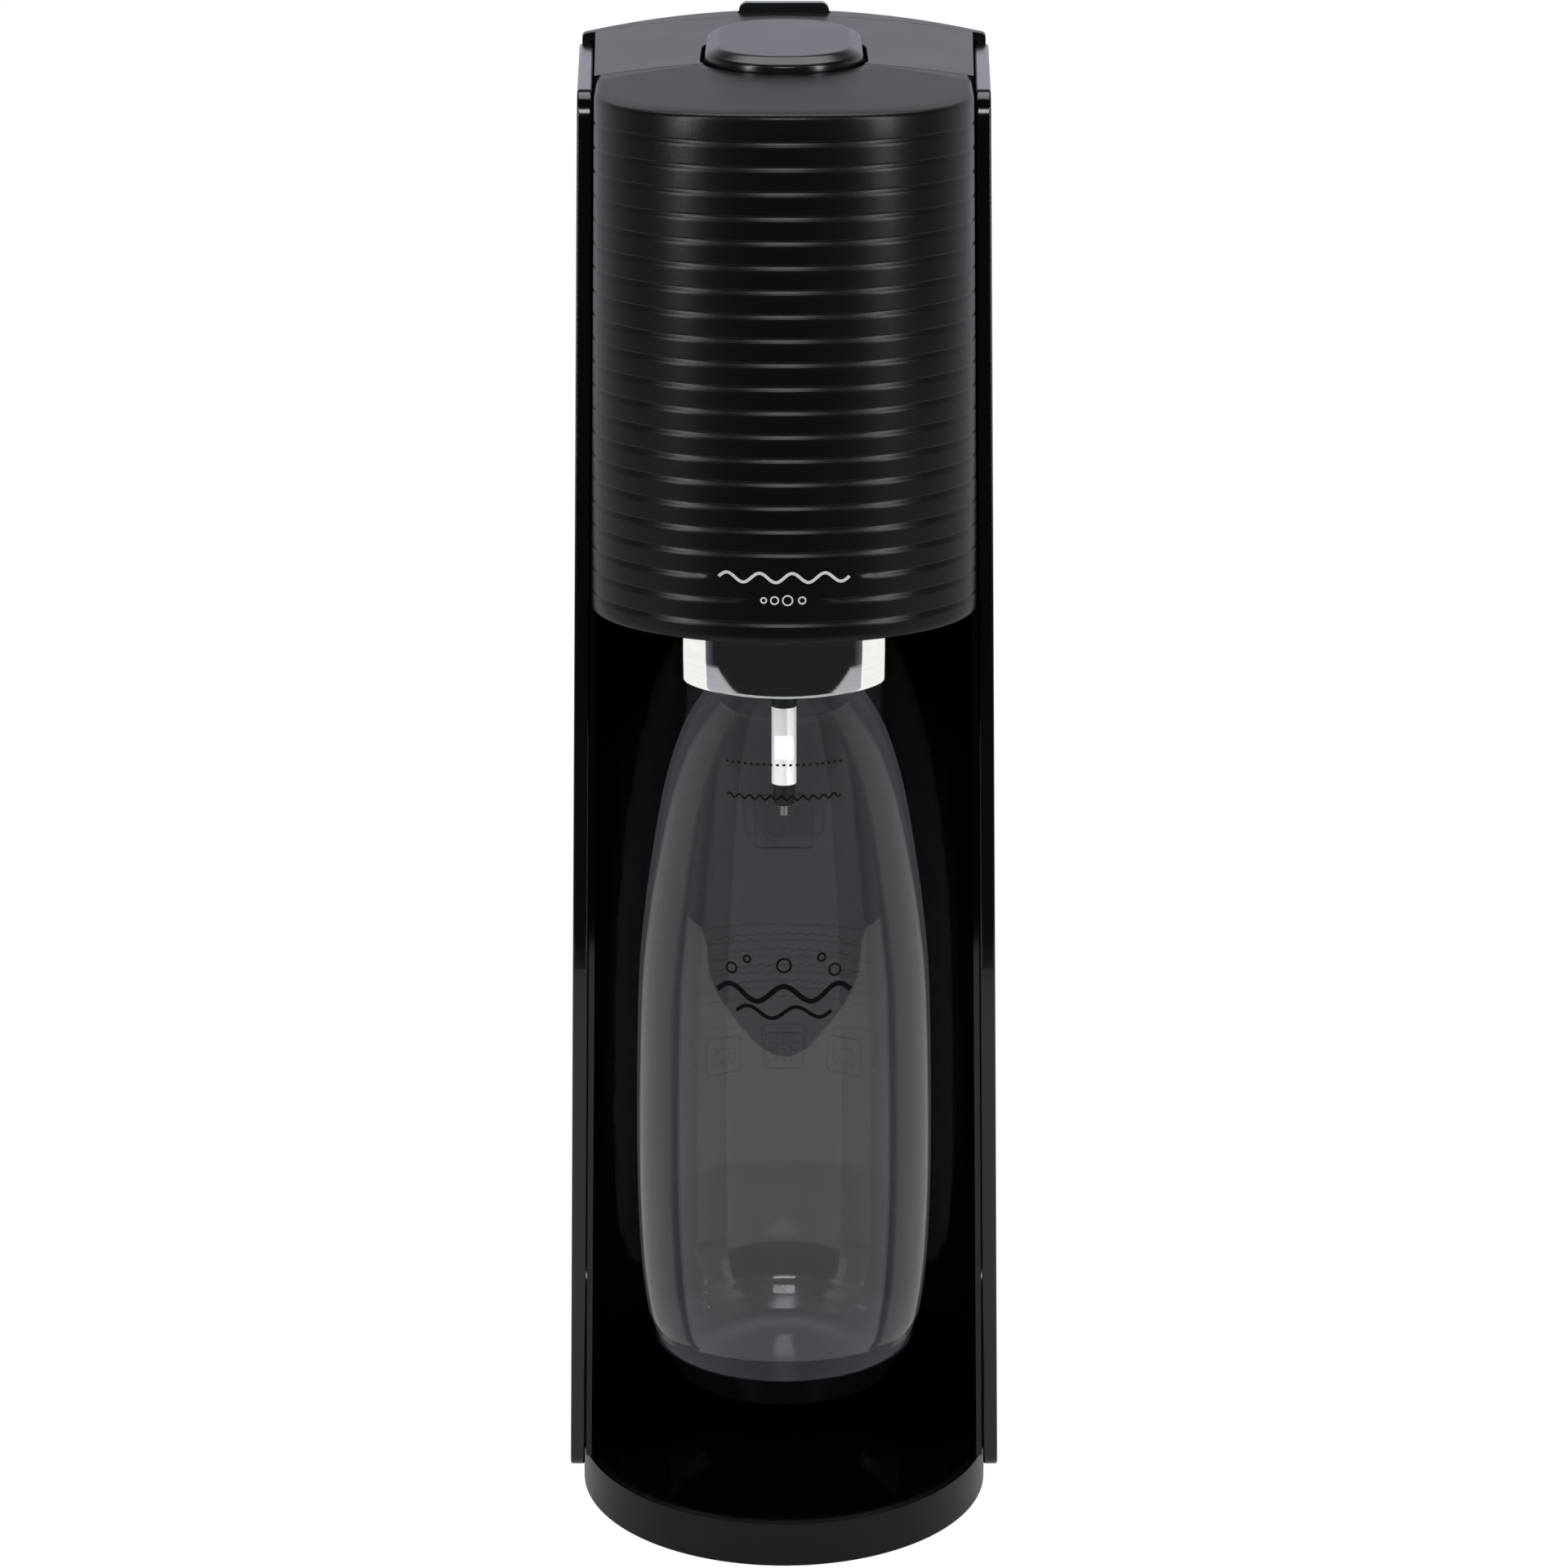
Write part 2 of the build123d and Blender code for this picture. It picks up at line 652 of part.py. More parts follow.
def press_lever():
    """Lever that turns the button's travel into a short push on the valve pin."""
    bar = block(-8, 8, button_y - 12, lever_pivot_y, lever_z - 3, lever_z + 5)
    bar -= block(-5.5, 5.5, button_y + 14, cylinder_y - 10, lever_z - 4, lever_z + 2)
    solid = bar + crossbar(6, -27.5, 27.5, lever_pivot_y, lever_z)
    solid += crossbar(4, -6, 6, cylinder_y, lever_z - 1.8)
    return solid - crossbar(lever_pin_radius + running_gap, -BIG, BIG, lever_pivot_y, lever_z)


def valve_pin():
    top = lever_z - 6.0
    return disc(5, top - 3, top, 0, cylinder_y) + disc(2.5, deck_top + 18.2, top - 2, 0, cylinder_y)


# Bottle holder

def holder_cup():
    """Swinging carrier for the bottle neck, with both pivot arms."""
    inner = holder_radius - holder_wall
    solid = ring(holder_radius, inner, collar_bottom + 1.5, holder_top, 0, bottle_y)
    solid += ring(holder_radius, nozzle_core_radius + 1, holder_top - 4, holder_top, 0, bottle_y)
    solid += ring(16, nozzle_core_radius + 1, mouth_z + 3.7, holder_top, 0, bottle_y)
    arm_outer = pivot_bracket_inner - 2.5
    for side in (1, -1):
        low_x, high_x = sorted((side * (arm_outer - 6), side * arm_outer))
        solid += block(low_x, high_x, bottle_y, pivot_y, pivot_z - 8, pivot_z + 8)
        solid += crossbar(8, low_x, high_x, pivot_y, pivot_z)
    solid -= disc(inner, collar_bottom, mouth_z + 3.7, 0, bottle_y)
    return solid - crossbar(pivot_pin_radius + running_gap, -BIG, BIG, pivot_y, pivot_z)


def collar_ring():
    band = ring(collar_radius, collar_radius - collar_wall, collar_bottom, collar_top, 0, bottle_y)
    rims = band.faces().sort_by(Axis.Z)[0].edges()
    return fillet(rims, 0.5)


def grip_fingers():
    """Lips that hold the bottle under its neck flange."""
    outer = holder_radius - holder_wall
    band = ring(outer, bottle_flange_radius + 0.8, neck_bottom, neck_bottom + 6, 0, bottle_y)
    pieces = []
    for turn in (30, 150, 270):
        sector = extrude(pie_slice(40, outer + 3), 9)
        wedge = Pos(0, bottle_y, neck_bottom - 1) * Rot(0, 0, turn - 20) * sector
        pieces.append(band & wedge)
    return pieces


def pie_slice(angle, radius):
    edge = math.radians(angle)
    start, stop = (radius, 0), (radius * math.cos(edge), radius * math.sin(edge))
    middle = (radius * math.cos(edge / 2), radius * math.sin(edge / 2))
    return make_face(Curve() + [Line((0, 0), start), ThreePointArc(start, middle, stop), Line(stop, (0, 0))])


def bottle_seal():
    return ring(14.5, nozzle_radius + 0.6, mouth_z + 0.2, mouth_z + 3.7, 0, bottle_y)


def nozzle_tube():
    tube = disc(nozzle_core_radius, sleeve_end, holder_top + 8, 0, bottle_y)
    tube += disc(nozzle_radius, nozzle_shoulder, mouth_z + 3.7, 0, bottle_y)
    tube += disc(7, holder_top, holder_top + 4, 0, bottle_y)
    return tube


def nozzle_sleeve():
    return ring(nozzle_radius, nozzle_core_radius, sleeve_end, nozzle_shoulder, 0, bottle_y)


def nozzle_end():
    end = disc(3.25, nozzle_end_z, sleeve_end, 0, bottle_y)
    return fillet(end.edges().sort_by(Axis.Z)[0], 1.8)


def nozzle_tip():
    return ring(1.35, 0.6, nozzle_end_z - 3, nozzle_end_z, 0, bottle_y)


def feed_pipe():
    """Rigid pipe from the pivot arm to the top of the nozzle."""
    arm_x = -(pivot_bracket_inner - 5.5)
    high = holder_top + 17
    start = (0, bottle_y, holder_top + 8)
    route = FilletPolyline(start, (0, bottle_y, high), (arm_x, bottle_y, high), (arm_x, pivot_y, high),
                           (arm_x, pivot_y, pivot_z + 8), radius=[6, 6, 6])
    return sweep(Plane(origin=start, z_dir=(0, 0, 1)) * Circle(2.5), path=route)


# Bottle: each pair is the share of the bottle's height and of its radius

bottle_sides = [(0.087, 0.946), (0.149, 0.982), (0.25, 1.0), (0.382, 0.994), (0.495, 0.974), (0.569, 0.935),
                (0.619, 0.897), (0.685, 0.836), (0.735, 0.775), (0.79, 0.672), (0.833, 0.53), (0.858, 0.42)]


def bottle_profile(inset):
    """Half outline from the pushed-up base to the neck, inset by the wall."""
    low = bottle_bottom + 2.0 + inset
    points = []
    for level, share in bottle_sides:
        shoulder_drop = 1.5 * inset * (1 - share)
        points.append((share * bottle_radius - inset, bottle_bottom + level * bottle_height - shoulder_drop))
    heel = (0.865 * bottle_radius - inset, bottle_bottom + heel_height)
    hub, punt, bead, toe = (low + share * heel_height for share in (0.44, 0.3, 0.254, 0.526))
    neck = (bottle_neck_radius - inset * 1.6, neck_bottom - inset)
    base = Spline((0, hub), (0.3 * bottle_radius, punt), (0.56 * bottle_radius, low),
                  (0.75 * bottle_radius - inset, bead), (0.81 * bottle_radius - inset, toe), heel,
                  tangents=[(1, 0), (0.3, 1)])
    side = Spline(heel, *points, neck, tangents=[(0.3, 1), (0, 1)])
    top_z = mouth_z + (inset > 0)
    close = Polyline(neck, (neck[0], top_z), (0, top_z), (0, hub))
    return make_face(Curve() + [base, side, close])


def bottle_body():
    outer = revolve_about(bottle_profile(0), bottle_y)
    outer += disc(bottle_flange_radius, neck_bottom + 6.5, neck_bottom + 9, 0, bottle_y)
    for level in (15, 20, 25):
        outer += disc(bottle_neck_radius + 1, neck_bottom + level, neck_bottom + level + 2, 0, bottle_y)
    return outer - revolve_about(bottle_profile(bottle_wall), bottle_y)


def bottle_base_cup():
    low, rim = 0.764 * bottle_radius, 0.89 * bottle_radius
    outline = Polyline((0, 0), (low - 2, 0), (low, 1.5), (rim, heel_height), (rim - 0.9, heel_height),
                       (low - 0.6, 1.9), (0, 1.9), close=True)
    return revolve_about(make_face(Pos(0, bottle_bottom) * outline), bottle_y)


nodes = {
    "base_plinth": base_plinth, "drip_tray": drip_tray, "base_plate": base_plate,
    "rubber_feet": rubber_feet, "base_screws": base_screws,
    "side_panel_right": lambda: side_panel(1), "side_panel_left": lambda: side_panel(-1),
    "bay_liner": bay_liner, "head_front_shell": head_front_shell,
    "head_bottom_plate": head_bottom_plate, "shell_screws": shell_screws,
    "top_cover": top_cover, "rear_cover": rear_cover, "cover_latch": cover_latch,
    "column_right": lambda: column(1), "column_left": lambda: column(-1),
    "head_deck": head_deck, "deck_screws": deck_screws,
    "cylinder_cradle": cylinder_cradle, "cylinder_body": cylinder_body,
    "cylinder_valve": cylinder_valve, "cylinder_dock": cylinder_dock,
    "handle_lever_pins": handle_lever_pins, "cylinder_lever": cylinder_lever,
    "manifold_block": manifold_block, "relief_valve": relief_valve,
    "gas_hose": gas_hose, "hose_fittings": hose_fittings,
    "lever_pivot_pin": lever_pivot_pin, "holder_pivot_pins": holder_pivot_pins,
    "button_cap": button_cap, "button_stem": button_stem, "button_guide": button_guide,
    "button_spring": button_spring, "press_lever": press_lever, "valve_pin": valve_pin,
    "holder_cup": holder_cup, "collar_ring": collar_ring, "grip_fingers": grip_fingers,
    "bottle_seal": bottle_seal, "nozzle_tube": nozzle_tube, "nozzle_sleeve": nozzle_sleeve,
    "nozzle_end": nozzle_end, "nozzle_tip": nozzle_tip, "feed_pipe": feed_pipe,
    "bottle_body": bottle_body, "bottle_base_cup": bottle_base_cup,
}

os.makedirs("parts", exist_ok=True)
for name, build in nodes.items():
    shape = build()
    if isinstance(shape, list):
        shape = Compound(children=shape)
    export_step(shape, f"parts/{name}.step")
    print(name)
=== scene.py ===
import bpy
import bmesh
import json
import math
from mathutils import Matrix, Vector

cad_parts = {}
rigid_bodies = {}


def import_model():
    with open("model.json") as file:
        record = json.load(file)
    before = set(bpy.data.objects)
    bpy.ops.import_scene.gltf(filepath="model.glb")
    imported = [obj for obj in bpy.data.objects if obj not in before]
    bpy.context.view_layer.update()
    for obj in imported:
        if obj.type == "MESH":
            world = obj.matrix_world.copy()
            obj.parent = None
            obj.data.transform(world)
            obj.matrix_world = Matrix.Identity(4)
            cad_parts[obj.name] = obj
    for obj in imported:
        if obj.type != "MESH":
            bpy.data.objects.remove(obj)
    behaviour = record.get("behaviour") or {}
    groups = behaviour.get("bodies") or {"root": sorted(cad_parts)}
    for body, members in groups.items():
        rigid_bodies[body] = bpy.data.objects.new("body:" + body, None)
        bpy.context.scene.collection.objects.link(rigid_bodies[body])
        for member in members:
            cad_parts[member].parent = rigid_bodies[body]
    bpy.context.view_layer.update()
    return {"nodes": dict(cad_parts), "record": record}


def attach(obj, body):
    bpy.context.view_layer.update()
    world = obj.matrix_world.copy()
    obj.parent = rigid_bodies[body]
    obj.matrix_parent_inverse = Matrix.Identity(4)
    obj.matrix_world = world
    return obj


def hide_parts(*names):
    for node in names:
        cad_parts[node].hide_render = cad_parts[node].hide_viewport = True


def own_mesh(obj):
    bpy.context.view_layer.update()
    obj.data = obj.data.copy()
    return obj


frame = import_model()
nodes = frame["nodes"]
print("frame loaded:", len(nodes), "nodes")


# shader helpers

def newMaterial(name):
    mat = bpy.data.materials.new(name)
    mat.use_nodes = True
    shader = mat.node_tree.nodes["Principled BSDF"]
    return mat, mat.node_tree, shader


def setSockets(shader, values):
    for socket, value in values.items():
        shader.inputs[socket].default_value = value


def newGroup(name, inputs, outputs):
    group = bpy.data.node_groups.new(name, "ShaderNodeTree")
    for label, kind, value in inputs:
        made = group.interface.new_socket(name=label, in_out="INPUT", socket_type=kind)
        made.default_value = value
    for label, kind in outputs:
        group.interface.new_socket(name=label, in_out="OUTPUT", socket_type=kind)
    return group, group.nodes.new("NodeGroupInput"), group.nodes.new("NodeGroupOutput")


def makeMouldedGroup():
    # fine moulded texture: colour drift, roughness drift, small pits
    group, inp, out = newGroup(
        "mouldedSurface",
        [("Base", "NodeSocketColor", (0.02, 0.02, 0.02, 1)), ("Roughness", "NodeSocketFloat", 0.4),
         ("Grain Scale", "NodeSocketFloat", 2200.0), ("Grain Depth", "NodeSocketFloat", 0.15),
         ("Drift", "NodeSocketFloat", 0.06)],
        [("Color", "NodeSocketColor"), ("Roughness", "NodeSocketFloat"), ("Normal", "NodeSocketVector")])
    add, link = group.nodes.new, group.links.new
    where = add("ShaderNodeTexCoord")
    grain = add("ShaderNodeTexNoise")
    grain.inputs["Detail"].default_value = 3
    drift = add("ShaderNodeTexNoise")
    setSockets(drift, {"Scale": 26.0, "Detail": 5.0, "Roughness": 0.6})
    bump = add("ShaderNodeBump")
    bump.inputs["Distance"].default_value = 0.0001
    centred = add("ShaderNodeMath")
    centred.operation = "SUBTRACT"
    centred.inputs[1].default_value = 0.5
    scaled = add("ShaderNodeMath")
    scaled.operation = "MULTIPLY_ADD"
    tint = add("ShaderNodeHueSaturation")
    value = add("ShaderNodeMath")
    value.operation = "MULTIPLY_ADD"
    value.inputs[1].default_value = 0.5
    value.inputs[2].default_value = 0.75
    link(where.outputs["Object"], grain.inputs["Vector"])
    link(where.outputs["Object"], drift.inputs["Vector"])
    link(inp.outputs["Grain Scale"], grain.inputs["Scale"])
    link(grain.outputs["Fac"], bump.inputs["Height"])
    link(inp.outputs["Grain Depth"], bump.inputs["Strength"])
    link(drift.outputs["Fac"], centred.inputs[0])
    link(centred.outputs[0], scaled.inputs[0])
    link(inp.outputs["Drift"], scaled.inputs[1])
    link(inp.outputs["Roughness"], scaled.inputs[2])
    link(drift.outputs["Fac"], value.inputs[0])
    link(inp.outputs["Base"], tint.inputs["Color"])
    link(value.outputs[0], tint.inputs["Value"])
    link(tint.outputs["Color"], out.inputs["Color"])
    link(scaled.outputs[0], out.inputs["Roughness"])
    link(bump.outputs["Normal"], out.inputs["Normal"])
    return group


def makeBrushedGroup():
    # lines that run round an upright axis: stretched noise in height
    group, inp, out = newGroup(
        "brushedMetal",
        [("Base", "NodeSocketColor", (0.7, 0.7, 0.7, 1)), ("Roughness", "NodeSocketFloat", 0.2),
         ("Line Scale", "NodeSocketFloat", 3500.0), ("Line Depth", "NodeSocketFloat", 0.1),
         ("Spread", "NodeSocketFloat", 0.16)],
        [("Color", "NodeSocketColor"), ("Roughness", "NodeSocketFloat"), ("Normal", "NodeSocketVector")])
    add, link = group.nodes.new, group.links.new
    where = add("ShaderNodeTexCoord")
    stretch = add("ShaderNodeMapping")
    stretch.inputs["Scale"].default_value = (0.02, 0.02, 1.0)
    lines = add("ShaderNodeTexNoise")
    lines.inputs["Detail"].default_value = 4
    bump = add("ShaderNodeBump")
    bump.inputs["Distance"].default_value = 0.0001
    rough = add("ShaderNodeMath")
    rough.operation = "MULTIPLY_ADD"
    value = add("ShaderNodeMath")
    value.operation = "MULTIPLY_ADD"
    value.inputs[1].default_value = 0.3
    value.inputs[2].default_value = 0.85
    tint = add("ShaderNodeHueSaturation")
    link(where.outputs["Object"], stretch.inputs["Vector"])
    link(stretch.outputs["Vector"], lines.inputs["Vector"])
    link(inp.outputs["Line Scale"], lines.inputs["Scale"])
    link(lines.outputs["Fac"], bump.inputs["Height"])
    link(inp.outputs["Line Depth"], bump.inputs["Strength"])
    link(lines.outputs["Fac"], rough.inputs[0])
    link(inp.outputs["Spread"], rough.inputs[1])
    link(inp.outputs["Roughness"], rough.inputs[2])
    link(lines.outputs["Fac"], value.inputs[0])
    link(inp.outputs["Base"], tint.inputs["Color"])
    link(value.outputs[0], tint.inputs["Value"])
    link(tint.outputs["Color"], out.inputs["Color"])
    link(rough.outputs[0], out.inputs["Roughness"])
    link(bump.outputs["Normal"], out.inputs["Normal"])
    return group


mouldedSurface = makeMouldedGroup()
brushedMetal = makeBrushedGroup()


def surfaceMaterial(name, group, values, extra):
    # a material whose colour, roughness and normal come from one of the groups above
    mat, tree, shader = newMaterial(name)
    surface = tree.nodes.new("ShaderNodeGroup")
    surface.node_tree = group
    setSockets(surface, values)
    tree.links.new(surface.outputs["Color"], shader.inputs["Base Color"])
    tree.links.new(surface.outputs["Roughness"], shader.inputs["Roughness"])
    tree.links.new(surface.outputs["Normal"], shader.inputs["Normal"])
    setSockets(shader, extra)
    return mat


def plasticMaterial(name, base, roughness, grain=0.15, grainScale=2200, drift=0.06, specular=0.5):
    values = {"Base": (*base, 1), "Roughness": roughness, "Grain Scale": grainScale,
              "Grain Depth": grain, "Drift": drift}
    return surfaceMaterial(name, mouldedSurface, values, {"Specular IOR Level": specular})


def metalMaterial(name, base, roughness, lines=0.1, lineScale=3500, spread=0.16):
    values = {"Base": (*base, 1), "Roughness": roughness, "Line Scale": lineScale,
              "Line Depth": lines, "Spread": spread}
    return surfaceMaterial(name, brushedMetal, values, {"Metallic": 1.0})


def clearMaterial(name, tint, roughness, facePaintedGlow, edgePaintedGlow, paintedGlowStrength):
    # clear plastic with a painted grey-blue glow: an emission that grows from the face towards the silhouette
    # and stands in for lighter, lit edges; shadow rays pass through it
    mat, tree, shader = newMaterial(name)
    setSockets(shader, {"Base Color": (*tint, 1), "Roughness": roughness, "IOR": 1.45,
                        "Transmission Weight": 1.0})
    where = tree.nodes.new("ShaderNodeTexCoord")
    ripple = tree.nodes.new("ShaderNodeTexNoise")
    setSockets(ripple, {"Scale": 60.0, "Detail": 2.0})
    bump = tree.nodes.new("ShaderNodeBump")
    setSockets(bump, {"Strength": 0.06, "Distance": 0.0004})
    edge = tree.nodes.new("ShaderNodeLayerWeight")
    edge.inputs["Blend"].default_value = 0.5
    curve = tree.nodes.new("ShaderNodeMapRange")
    setSockets(curve, {"From Min": 0.12, "From Max": 0.85, "To Min": facePaintedGlow, "To Max": edgePaintedGlow})
    # painted glow: emission mixed over the clear shader, stronger towards the silhouette
    paintedGlow = tree.nodes.new("ShaderNodeEmission")
    setSockets(paintedGlow, {"Color": (0.80, 0.86, 1.0, 1), "Strength": paintedGlowStrength})
    paintedGlowMix = tree.nodes.new("ShaderNodeMixShader")
    passing = tree.nodes.new("ShaderNodeBsdfTransparent")
    path = tree.nodes.new("ShaderNodeLightPath")
    final = tree.nodes.new("ShaderNodeMixShader")
    link = tree.links.new
    link(where.outputs["Object"], ripple.inputs["Vector"])
    link(ripple.outputs["Fac"], bump.inputs["Height"])
    link(bump.outputs["Normal"], shader.inputs["Normal"])
    link(edge.outputs["Facing"], curve.inputs["Value"])
    link(curve.outputs["Result"], paintedGlowMix.inputs["Fac"])
    link(shader.outputs["BSDF"], paintedGlowMix.inputs[1])
    link(paintedGlow.outputs["Emission"], paintedGlowMix.inputs[2])
    link(path.outputs["Is Shadow Ray"], final.inputs["Fac"])
    link(paintedGlowMix.outputs["Shader"], final.inputs[1])
    link(passing.outputs["BSDF"], final.inputs[2])
    link(final.outputs["Shader"], tree.nodes["Material Output"].inputs["Surface"])
    return mat


finishes = {
    "satin_black": plasticMaterial("satinBlack", (0.0035, 0.0035, 0.004), 0.3, 0.2, specular=0.30),
    "gloss_black": plasticMaterial("glossBlack", (0.0015, 0.0015, 0.0017), 0.06, 0.03, 900, 0.02),
    "panel_black": plasticMaterial("panelBlack", (0.003, 0.003, 0.0034), 0.13, 0.06, 1800, 0.03, 0.6),
    "frame_grey": plasticMaterial("frameGrey", (0.13, 0.135, 0.14), 0.5, 0.2),
    "steel_band": metalMaterial("steelBand", (0.66, 0.69, 0.70), 0.03, 0.04, spread=0.05),
    "steel_pin": metalMaterial("steelPin", (0.6, 0.6, 0.6), 0.25),
    "zinc_screw": metalMaterial("zincScrew", (0.5, 0.52, 0.55), 0.35),
    "spring_steel": metalMaterial("springSteel", (0.5, 0.5, 0.52), 0.3),
    "brass": metalMaterial("machinedBrass", (0.75, 0.55, 0.27), 0.22),
    "cylinder_paint": plasticMaterial("cylinderPaint", (0.5, 0.52, 0.55), 0.35, 0.1),
    "lever_plastic": plasticMaterial("leverPlastic", (0.42, 0.05, 0.16), 0.35, 0.1),
    "rubber": plasticMaterial("softRubber", (0.015, 0.015, 0.015), 0.7, 0.4, 1500),
    "hose_black": plasticMaterial("hoseBlack", (0.02, 0.02, 0.022), 0.5, 0.25),
    "nozzle_white": plasticMaterial("nozzleWhite", (0.85, 0.85, 0.84), 0.25, 0.05),
    "nozzle_dark": plasticMaterial("nozzleDark", (0.012, 0.008, 0.007), 0.22, 0.05),
    # the clear bottle gets a painted glow at its edges (emission mixed in by clearMaterial)
    "clear_bottle": clearMaterial("clearBottle", (0.93, 0.94, 0.96), 0.02, 0.04, 0.32, 0.11),
    "cup_black": plasticMaterial("cupBlack", (0.006, 0.006, 0.007), 0.2, 0.08),
    "button_satin": plasticMaterial("buttonSatin", (0.005, 0.005, 0.0055), 0.24, 0.12),
    "mark_white": plasticMaterial("markWhite", (0.75, 0.75, 0.76), 0.45, 0.05),
    "mark_dark": plasticMaterial("markDark", (0.002, 0.002, 0.002), 0.6, 0.05, specular=0.08),
}
for entry in frame["record"]["subparts"]:
    mesh = nodes[entry["node"]].data
    mesh.materials.clear()
    mesh.materials.append(finishes[entry["material_slot"]])
print("materials assigned")


# shape helpers: the pieces' sizes are in millimetres, and mm() takes them to the frame's metres

def mm(value):
    return value / 1000


def addPiece(name, bm, body, slot, *replaced, finish=None):
    bmesh.ops.recalc_face_normals(bm, faces=bm.faces)
    mesh = bpy.data.meshes.new(name)
    bm.to_mesh(mesh)
    bm.free()
    obj = bpy.data.objects.new(name, mesh)
    bpy.context.scene.collection.objects.link(obj)
    mesh.materials.append(finishes[finish or slot])
    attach(obj, body)
    if replaced:
        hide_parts(*replaced)
    return obj


def smoothShade(bm, sharpAngle=180):
    # edges that turn further than the angle stay crisp
    for face in bm.faces:
        face.smooth = True
    for edge in bm.edges:
        if len(edge.link_faces) == 2 and edge.calc_face_angle(0) > math.radians(sharpAngle):
            edge.smooth = False


def bridgeRings(bm, rings, closed):
    # rings of equal length become a skin of quads
    skins = [[bm.verts.new(point) for point in ring] for ring in rings]
    for low, high in zip(skins, skins[1:]):
        count = len(low)
        for i in range(count if closed else count - 1):
            j = (i + 1) % count
            bm.faces.new((low[i], low[j], high[j], high[i]))
    return skins


def spinOutline(bm, outline, closed, centreY, steps, turns=1, rise=0.0):
    # sweeps an outline of (radius, height) round an upright axis; a rise makes a coil of it
    line = [bm.verts.new((mm(radius), mm(centreY), mm(z))) for radius, z in outline]
    edges = [bm.edges.new(pair) for pair in zip(line, line[1:])]
    if closed:
        edges.append(bm.edges.new((line[-1], line[0])))
    bmesh.ops.spin(bm, geom=line + edges, cent=(0, mm(centreY), 0), axis=(0, 0, 1),
                   dvec=(0, 0, mm(rise) / steps), angle=2 * math.pi * turns, steps=steps, use_merge=rise == 0)


def spunPiece(name, outline, closed, centreY, steps, sharpAngle, body, slot, *replaced):
    bm = bmesh.new()
    spinOutline(bm, outline, closed, centreY, steps)
    bmesh.ops.remove_doubles(bm, verts=bm.verts, dist=1e-6)
    bmesh.ops.dissolve_degenerate(bm, edges=bm.edges, dist=1e-7)
    smoothShade(bm, sharpAngle)
    return addPiece(name, bm, body, slot, *replaced)


# ribbed front of the head: rings of a half-elliptic outline from the button hole, over the roof,
# down the ribs and up the inside

head = {"low": 282.0, "high": 434.0, "shoulder": 428.0, "seam": -30.35,
        "frontLow": -91.0, "frontHigh": -93.0, "halfLow": 55.1, "halfHigh": 52.1, "bow": 43.0,
        "slope": 0.10, "crown": 680.0, "rim": 1.6, "rimSteps": 6,
        "wall": 2.4, "wallLevels": (350.0, 415.0),
        "holeRadius": 23.7, "holeCentre": -22.0, "holeEdge": ((0.35, 0.12), (0.9, 0.0)), "roofSteps": 9,
        "firstRib": 420.2, "ribPitch": 6.62, "ribCount": 21, "ribDepth": 0.7,
        "ribGaps": {18: 21.0, 19: 11.5}, "ribFade": 2.5}
# one rib from above to below: level beside the rib's own, share of its depth
ribSection = [(1.3, 0), (0.6, 0), (0.42, 0), (0.3, 1), (-0.05, 1), (-0.85, 0.12), (-1.05, 0), (-1.8, 0)]
# lower edge, from the outside round to the inside: level above the lowest, inset
lowerEdge = [(2.2, 0), (0.9, 0.05), (0.35, 0.3), (0, 0.8), (0, 1.8), (0.4, 2.3)]


def headShare(z):
    return (z - head["low"]) / (head["high"] - head["low"])


def headFront(z):
    return head["frontLow"] + (head["frontHigh"] - head["frontLow"]) * headShare(z)


def headHalf(z):
    return head["halfLow"] + (head["halfHigh"] - head["halfLow"]) * headShare(z)


def roofHeight(x, y):
    fall = head["slope"] * max(0.0, head["seam"] - y)
    return head["high"] - fall - x * x / head["crown"]


def headOutline(z, inset, arcSteps=112, sideSteps=3):
    # one straight side, the half ellipse, the other side
    half = headHalf(z)
    centre = headFront(z) + head["bow"]
    points = []
    for i in range(sideSteps):
        points.append((-(half - inset), head["seam"] + (centre - head["seam"]) * i / sideSteps))
    for i in range(arcSteps + 1):
        turn = math.pi + math.pi * i / arcSteps
        points.append(((half - inset) * math.cos(turn), centre + (head["bow"] - inset) * math.sin(turn)))
    for i in range(sideSteps):
        points.append((half - inset, centre + (head["seam"] - centre) * (i + 1) / sideSteps))
    return points


def holeEdge(count):
    start = math.asin((head["seam"] - head["holeCentre"]) / head["holeRadius"])
    low, high = math.pi - start, 2 * math.pi + start
    turns = [low + (high - low) * i / (count - 1) for i in range(count)]
    return [(head["holeRadius"] * math.cos(turn), head["holeCentre"] + head["holeRadius"] * math.sin(turn))
            for turn in turns]


def ribFade(rib, x):
    gap = head["ribGaps"].get(rib)
    if gap is None:
        return 1.0
    return min(1.0, max(0.0, (abs(x) - gap) / head["ribFade"]))


